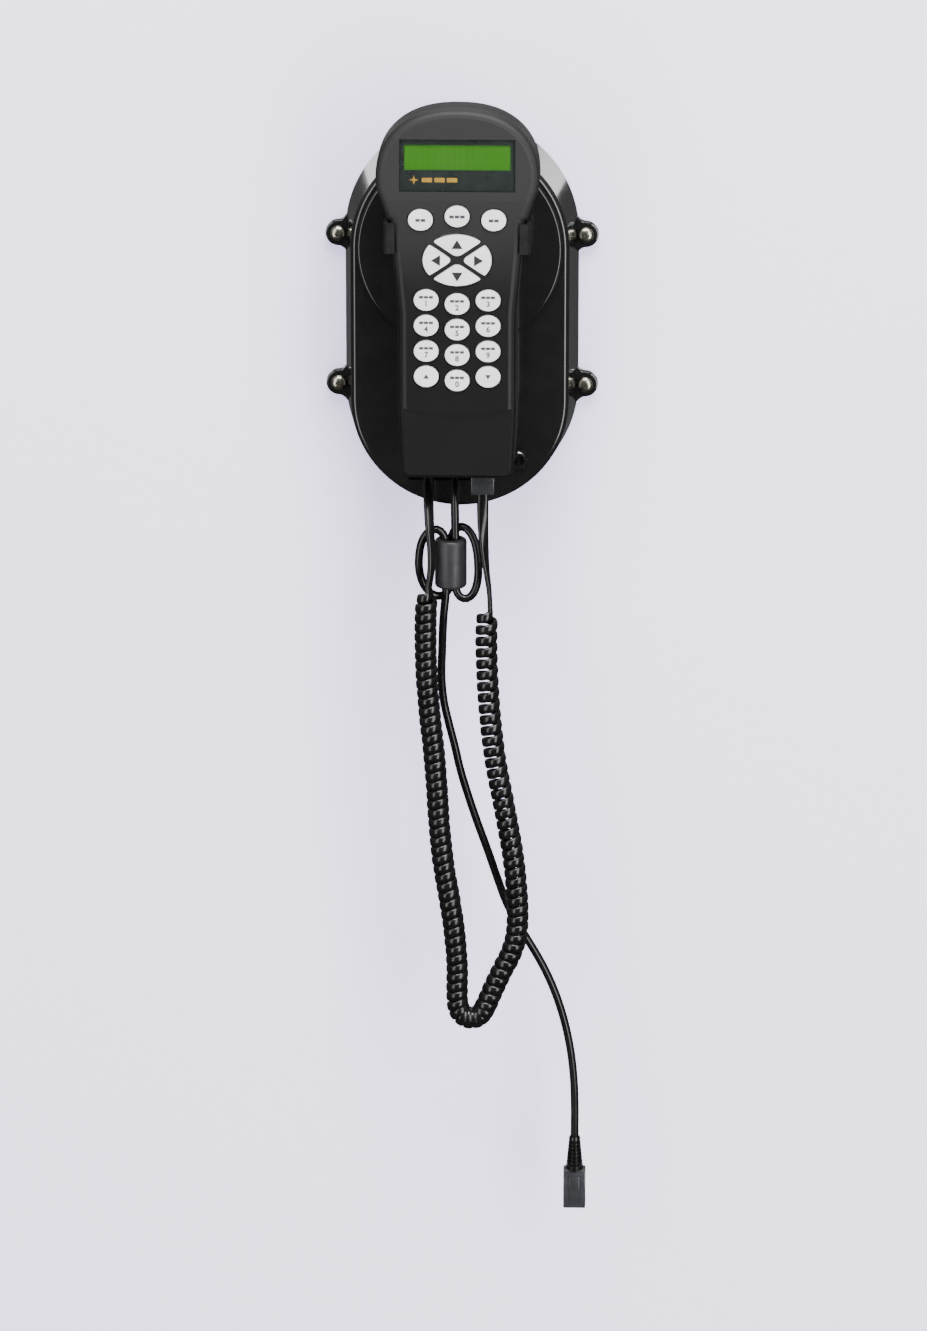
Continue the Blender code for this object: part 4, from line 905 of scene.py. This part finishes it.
def modular_plug(name, body, latch_side):
    """Plug with a bevelled body, a sprung latch on one side and a row of contacts at its nose."""
    low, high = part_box(name)
    x, half = (low.x + high.x) / 2, 3.5 * MM
    y = low.y + half if latch_side > 0 else high.y - half
    bm = bmesh.new()
    add_block(bm, (low.x, y - half, low.z), (high.x, y + half, high.z), 0.45 * MM)
    face = y + latch_side * (half - 0.1 * MM)
    tip = y + latch_side * (half + 0.95 * MM)
    add_block(bm, (x - 2.6 * MM, min(face, tip), low.z + 4.2 * MM),
              (x + 2.6 * MM, max(face, tip), high.z - 1.6 * MM), 0.25 * MM)
    made = piece(f"{name}_shell", bm, FINISH["plug"], body, [name])
    contacts = bmesh.new()
    front = y - latch_side * half
    back = front + latch_side * 0.4 * MM
    add_contacts(contacts, x, min(front, back), max(front, back), high.z - 6.5 * MM, high.z - 0.6 * MM)
    piece(f"{name}_contacts", contacts, GOLD, body)
    return made


def ferrite():
    """Two half cases round the core with rounded ends, a parting line and a snap."""
    low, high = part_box("ferrite_core")
    centre = ((low.x + high.x) / 2, (low.y + high.y) / 2)
    radius, bore, edge = (high.x - low.x) / 2, 5.3 * MM, 1.9 * MM
    steps = 6
    profile = [(bore, low.z)]
    for end, sign in ((low.z, -1), (high.z, 1)):
        turn = range(steps + 1) if sign < 0 else range(steps, -1, -1)
        for i in turn:
            angle = math.radians(90.0 * i / steps)
            inset, back = edge * (1 - math.sin(angle)), edge * (1 - math.cos(angle))
            profile.append((radius - inset, end - sign * back))
    profile.append((bore, high.z))
    bm = bmesh.new()
    loops = [[(centre[0] + x, centre[1] + y, z) for x, y in oval(r, r, 48)] for r, z in profile]
    rows = bridge(bm, loops, False)
    for i in range(48):
        j = (i + 1) % 48
        bm.faces.new((rows[-1][i], rows[-1][j], rows[0][j], rows[0][i]))
    core = piece("ferrite_case", bm, FINISH["ferrite"], "dock", ["ferrite_core"])
    seam = bmesh.new()
    for side in (-1, 1):
        edge_x = centre[0] + side * radius
        add_block(seam, (edge_x - 0.55 * MM, centre[1] - 0.3 * MM, low.z + 1.5 * MM),
                  (edge_x + 0.55 * MM, centre[1] + 0.3 * MM, high.z - 1.5 * MM))
    combine(core, seam, "DIFFERENCE")
    snap = bmesh.new()
    left, level = centre[0] - radius, (low.z + high.z) / 2
    add_block(snap, (left, centre[1] - 2.2 * MM, level - 3.0 * MM),
              (left + 1.2 * MM, centre[1] + 2.2 * MM, level + 3.0 * MM), 0.35 * MM)
    piece("ferrite_snap", snap, FINISH["ferrite"], "dock")


def drive_plug():
    """The drive lead's far plug: ribbed boot, bevelled body and latch."""
    low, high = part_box("drive_plug")
    x, y = (low.x + high.x) / 2, low.y + 5.2 * MM
    boot_low = high.z - 19.0 * MM
    profile = [(2.7 * MM, high.z)]
    ribs = 7
    for i in range(ribs):
        z = high.z - (1.0 + 2.1 * i) * MM
        radius = (3.0 + 0.2 * i) * MM
        profile += [(radius, z), (radius, z - 1.2 * MM), (radius - 0.55 * MM, z - 1.4 * MM),
                    (radius - 0.55 * MM, z - 1.9 * MM)]
    profile += [(4.6 * MM, boot_low + 3.0 * MM), (4.6 * MM, boot_low)]
    bm = bmesh.new()
    add_turned_z(bm, (x, y), profile, 32)
    boot = piece("drive_plug_boot", bm, FINISH["cord"], "dock", ["drive_plug"])
    bm = bmesh.new()
    add_block(bm, (low.x, y - 4 * MM, low.z), (high.x, y + 4 * MM, boot_low + 1 * MM), 0.5 * MM)
    add_block(bm, (x - 2.7 * MM, low.y, low.z + 3.5 * MM),
              (x + 2.7 * MM, y - 3.8 * MM, boot_low - 2.5 * MM), 0.3 * MM)
    body = piece("drive_plug_shell", bm, FINISH["plug"], "dock")
    contacts = bmesh.new()
    add_contacts(contacts, x, y + 3.65 * MM, y + 4.0 * MM, low.z + 0.5 * MM, low.z + 6.5 * MM)
    pins = piece("drive_plug_contacts", contacts, GOLD, "dock")
    return [boot, body, pins]


def power_socket():
    """Threaded barrel in a hexagon nut, its bore open to the front."""
    low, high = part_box("power_socket")
    centre = centre_of("power_socket")
    face = high.y - 9.3 * MM
    profile = [(3.9 * MM, high.y), (3.9 * MM, face)]
    y = face
    while y > low.y + 0.5 * MM:
        profile += [(3.9 * MM, y), (3.55 * MM, y - 0.25 * MM)]
        y -= 0.5 * MM
    profile += [(3.6 * MM, low.y), (3.1 * MM, low.y), (3.1 * MM, high.y - 3.0 * MM)]
    bm = bmesh.new()
    add_turned_y(bm, centre, profile, 40)
    piece("power_barrel", bm, NICKEL, "dock", ["power_socket"])
    nut = bmesh.new()
    outer = oval(5.5 * MM, 5.5 * MM, 6)
    inner = oval(4.0 * MM, 4.0 * MM, 24)
    add_nut(nut, centre, outer, inner, face, face - 1.8 * MM)
    piece("power_nut", nut, NICKEL, "dock")


def add_nut(bm, centre, outer, inner, y_from, y_to):
    """A ring between two outlines with different numbers of points, which must divide evenly."""
    share = len(inner) // len(outer)
    fine = []
    for i, (x, z) in enumerate(outer):
        nx, nz = outer[(i + 1) % len(outer)]
        for k in range(share):
            fine.append((x + (nx - x) * k / share, z + (nz - z) * k / share))
    loops = []
    for points, y in ((fine, y_from), (fine, y_to), (inner, y_to), (inner, y_from)):
        loops.append([(centre[0] + x, y, centre[1] + z) for x, z in points])
    rows = bridge(bm, loops, False)
    for i in range(len(fine)):
        j = (i + 1) % len(fine)
        bm.faces.new((rows[3][i], rows[3][j], rows[0][j], rows[0][i]))


# ---- leads ----

def smooth_route(points, spacing):
    """Points about spacing apart on a smooth curve through the given points, in metres."""
    route = [Vector(p) * MM for p in points]
    ends = [2 * route[0] - route[1]] + route + [2 * route[-1] - route[-2]]
    fine = []
    for i in range(1, len(ends) - 2):
        before, start, end, after = ends[i - 1:i + 3]
        for step in range(24):
            t = step / 24
            fine.append(0.5 * (2 * start + (end - before) * t
                               + (2 * before - 5 * start + 4 * end - after) * t * t
                               + (3 * start - before - 3 * end + after) * t ** 3))
    fine.append(route[-1])
    lengths = [0.0]
    for one, two in zip(fine, fine[1:]):
        lengths.append(lengths[-1] + (two - one).length)
    count = max(2, round(lengths[-1] / spacing))
    made, at = [], 0
    for i in range(count + 1):
        wanted = lengths[-1] * i / count
        while at < len(fine) - 2 and lengths[at + 1] < wanted:
            at += 1
        share = (wanted - lengths[at]) / max(lengths[at + 1] - lengths[at], 1e-9)
        made.append(fine[at].lerp(fine[at + 1], share))
    return made


def route_length(points):
    return sum((b - a).length for a, b in zip(points, points[1:]))


def drive_lead():
    points = smooth_route(DRIVE_ROUTE, 2.0 * MM)
    curve = bpy.data.curves.new("drive_lead_jacket", "CURVE")
    curve.dimensions = "3D"
    spline = curve.splines.new("POLY")
    spline.points.add(len(points) - 1)
    for target, point in zip(spline.points, points):
        target.co = (*point, 1.0)
    curve.bevel_depth = DRIVE_R
    curve.bevel_resolution = 5
    curve.use_fill_caps = True
    curve.materials.append(FINISH["cord"])
    made = bpy.data.objects.new("drive_lead_jacket", curve)
    bpy.context.scene.collection.objects.link(made)
    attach(made, "dock")
    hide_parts("drive_lead")


def smooth_step(t):
    t = min(1.0, max(0.0, t))
    return t * t * (3 - 2 * t)


def facing(tangent, turn):
    """The direction across a lead that is turned by an angle from its front."""
    forward = Vector((0.0, -1.0, 0.0))
    front = (forward - tangent * forward.dot(tangent)).normalized()
    return front * math.cos(turn) + tangent.cross(front) * math.sin(turn)


def tail_stations(route, way, coil_turn, share):
    """A flat tail from its plug, turned on its way to meet the coil's wire. way is +1 at the dock."""
    points = smooth_route(route, 2.0 * MM)[:-2]
    stations, last = [], len(points) - 1
    for i, point in enumerate(points):
        tangent = (points[min(i + 1, last)] - points[max(i - 1, 0)]).normalized() * way
        along = smooth_step(i / last)
        width = TAIL_WIDER + (1 - TAIL_WIDER) * along
        stations.append((point, facing(tangent, coil_turn * along), share, width))
    return stations


def coil_stations():
    axis = smooth_route(COIL_ROUTE, 0.25 * MM)
    total = len(axis) - 1
    lowest = min(range(len(axis)), key=lambda i: axis[i].z)
    step = route_length(axis) / total
    opening = 1.05 * lowest
    turns = [0.0]
    for i in range(total):
        pitch = PITCH_CLOSED + (PITCH_OPEN - PITCH_CLOSED) * smooth_step((i - opening) / (total - opening))
        pitch *= 1 - (1 - PITCH_BEND) * smooth_step(1.4 - abs(i - lowest) * step / (11 * MM))
        turns.append(turns[-1] + 2 * math.pi * step / pitch)
    extra = HANDSET_END_TURN - DOCK_END_TURN
    whole = round((turns[-1] - extra) / (2 * math.pi)) * 2 * math.pi + extra
    centre_r = COIL_OUTER_R - WIRE_THICK / 2
    stations, next_turn = [], 0.0
    for i in range(total + 1):
        turn = turns[i] * whole / turns[-1]
        if turn < next_turn:
            continue
        next_turn += 2 * math.pi / STEPS_PER_TURN
        tangent = (axis[min(i + 2, total)] - axis[max(i - 2, 0)]).normalized()
        out = facing(tangent, DOCK_END_TURN + turn)
        spread = 0.4 + 0.6 * smooth_step(min(turn, whole - turn) / 4.0)
        share = smooth_step((i - lowest - 0.04 * total) / (total - lowest - 0.08 * total))
        stations.append((axis[i] + out * centre_r * spread, out, share, 1.0))
    return stations


def lead_stations():
    """Stations along the curly lead: (point, way out of its flat side, share of the lift, width)."""
    dock_tail = tail_stations(DOCK_TAIL_ROUTE, 1, DOCK_END_TURN, 0.0)
    handset_tail = tail_stations(HANDSET_TAIL_ROUTE, -1, HANDSET_END_TURN, 1.0)
    return dock_tail + coil_stations() + handset_tail[::-1]


def curly_lead():
    """The whole curly lead as one flat wire: tail, coil, tail."""
    stations = lead_stations()
    points = [station[0] for station in stations]
    normals = [station[1] for station in stations]
    last = len(points) - 1
    for _ in range(2):
        normals = [(normals[max(i - 1, 0)] + normals[i] * 2 + normals[min(i + 1, last)]).normalized()
                   for i in range(len(normals))]
    section = []
    sides, squareness = 12, 0.75
    for k in range(sides):
        angle = 2 * math.pi * k / sides
        c, s = math.cos(angle), math.sin(angle)
        section.append((math.copysign(abs(c) ** squareness, c) * WIRE_WIDTH / 2,
                        math.copysign(abs(s) ** squareness, s) * WIRE_THICK / 2))
    bm = bmesh.new()
    loops, shares = [], []
    for i, (point, normal) in enumerate(zip(points, normals)):
        tangent = (points[min(i + 1, last)] - points[max(i - 1, 0)]).normalized()
        flat = (normal - tangent * normal.dot(tangent)).normalized()
        wide = tangent.cross(flat)
        loops.append([point + wide * w * stations[i][3] + flat * h for w, h in section])
        shares += [stations[i][2]] * sides
    bridge(bm, loops)
    made = piece("curly_lead_jacket", bm, FINISH["cord"], None, smooth_angle=60.0)
    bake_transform(made)
    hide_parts("lead_tail_dock", "lead_coil", "lead_tail_handset")


def build():
    camera()
    stage()
    lights()
    paint_cad_nodes()
    keys()
    marks()
    window_mark()
    dock_cover()
    dock_screws()
    power_socket()
    ferrite()
    plugs = {name: modular_plug(name, body, side) for name, body, side in (
        ("dock_plug", "dock", -1), ("drive_lead_dock_plug", "dock", -1), ("handset_plug", "handset", 1))}
    far_plug = drive_plug()
    curly_lead()
    drive_lead()


build()
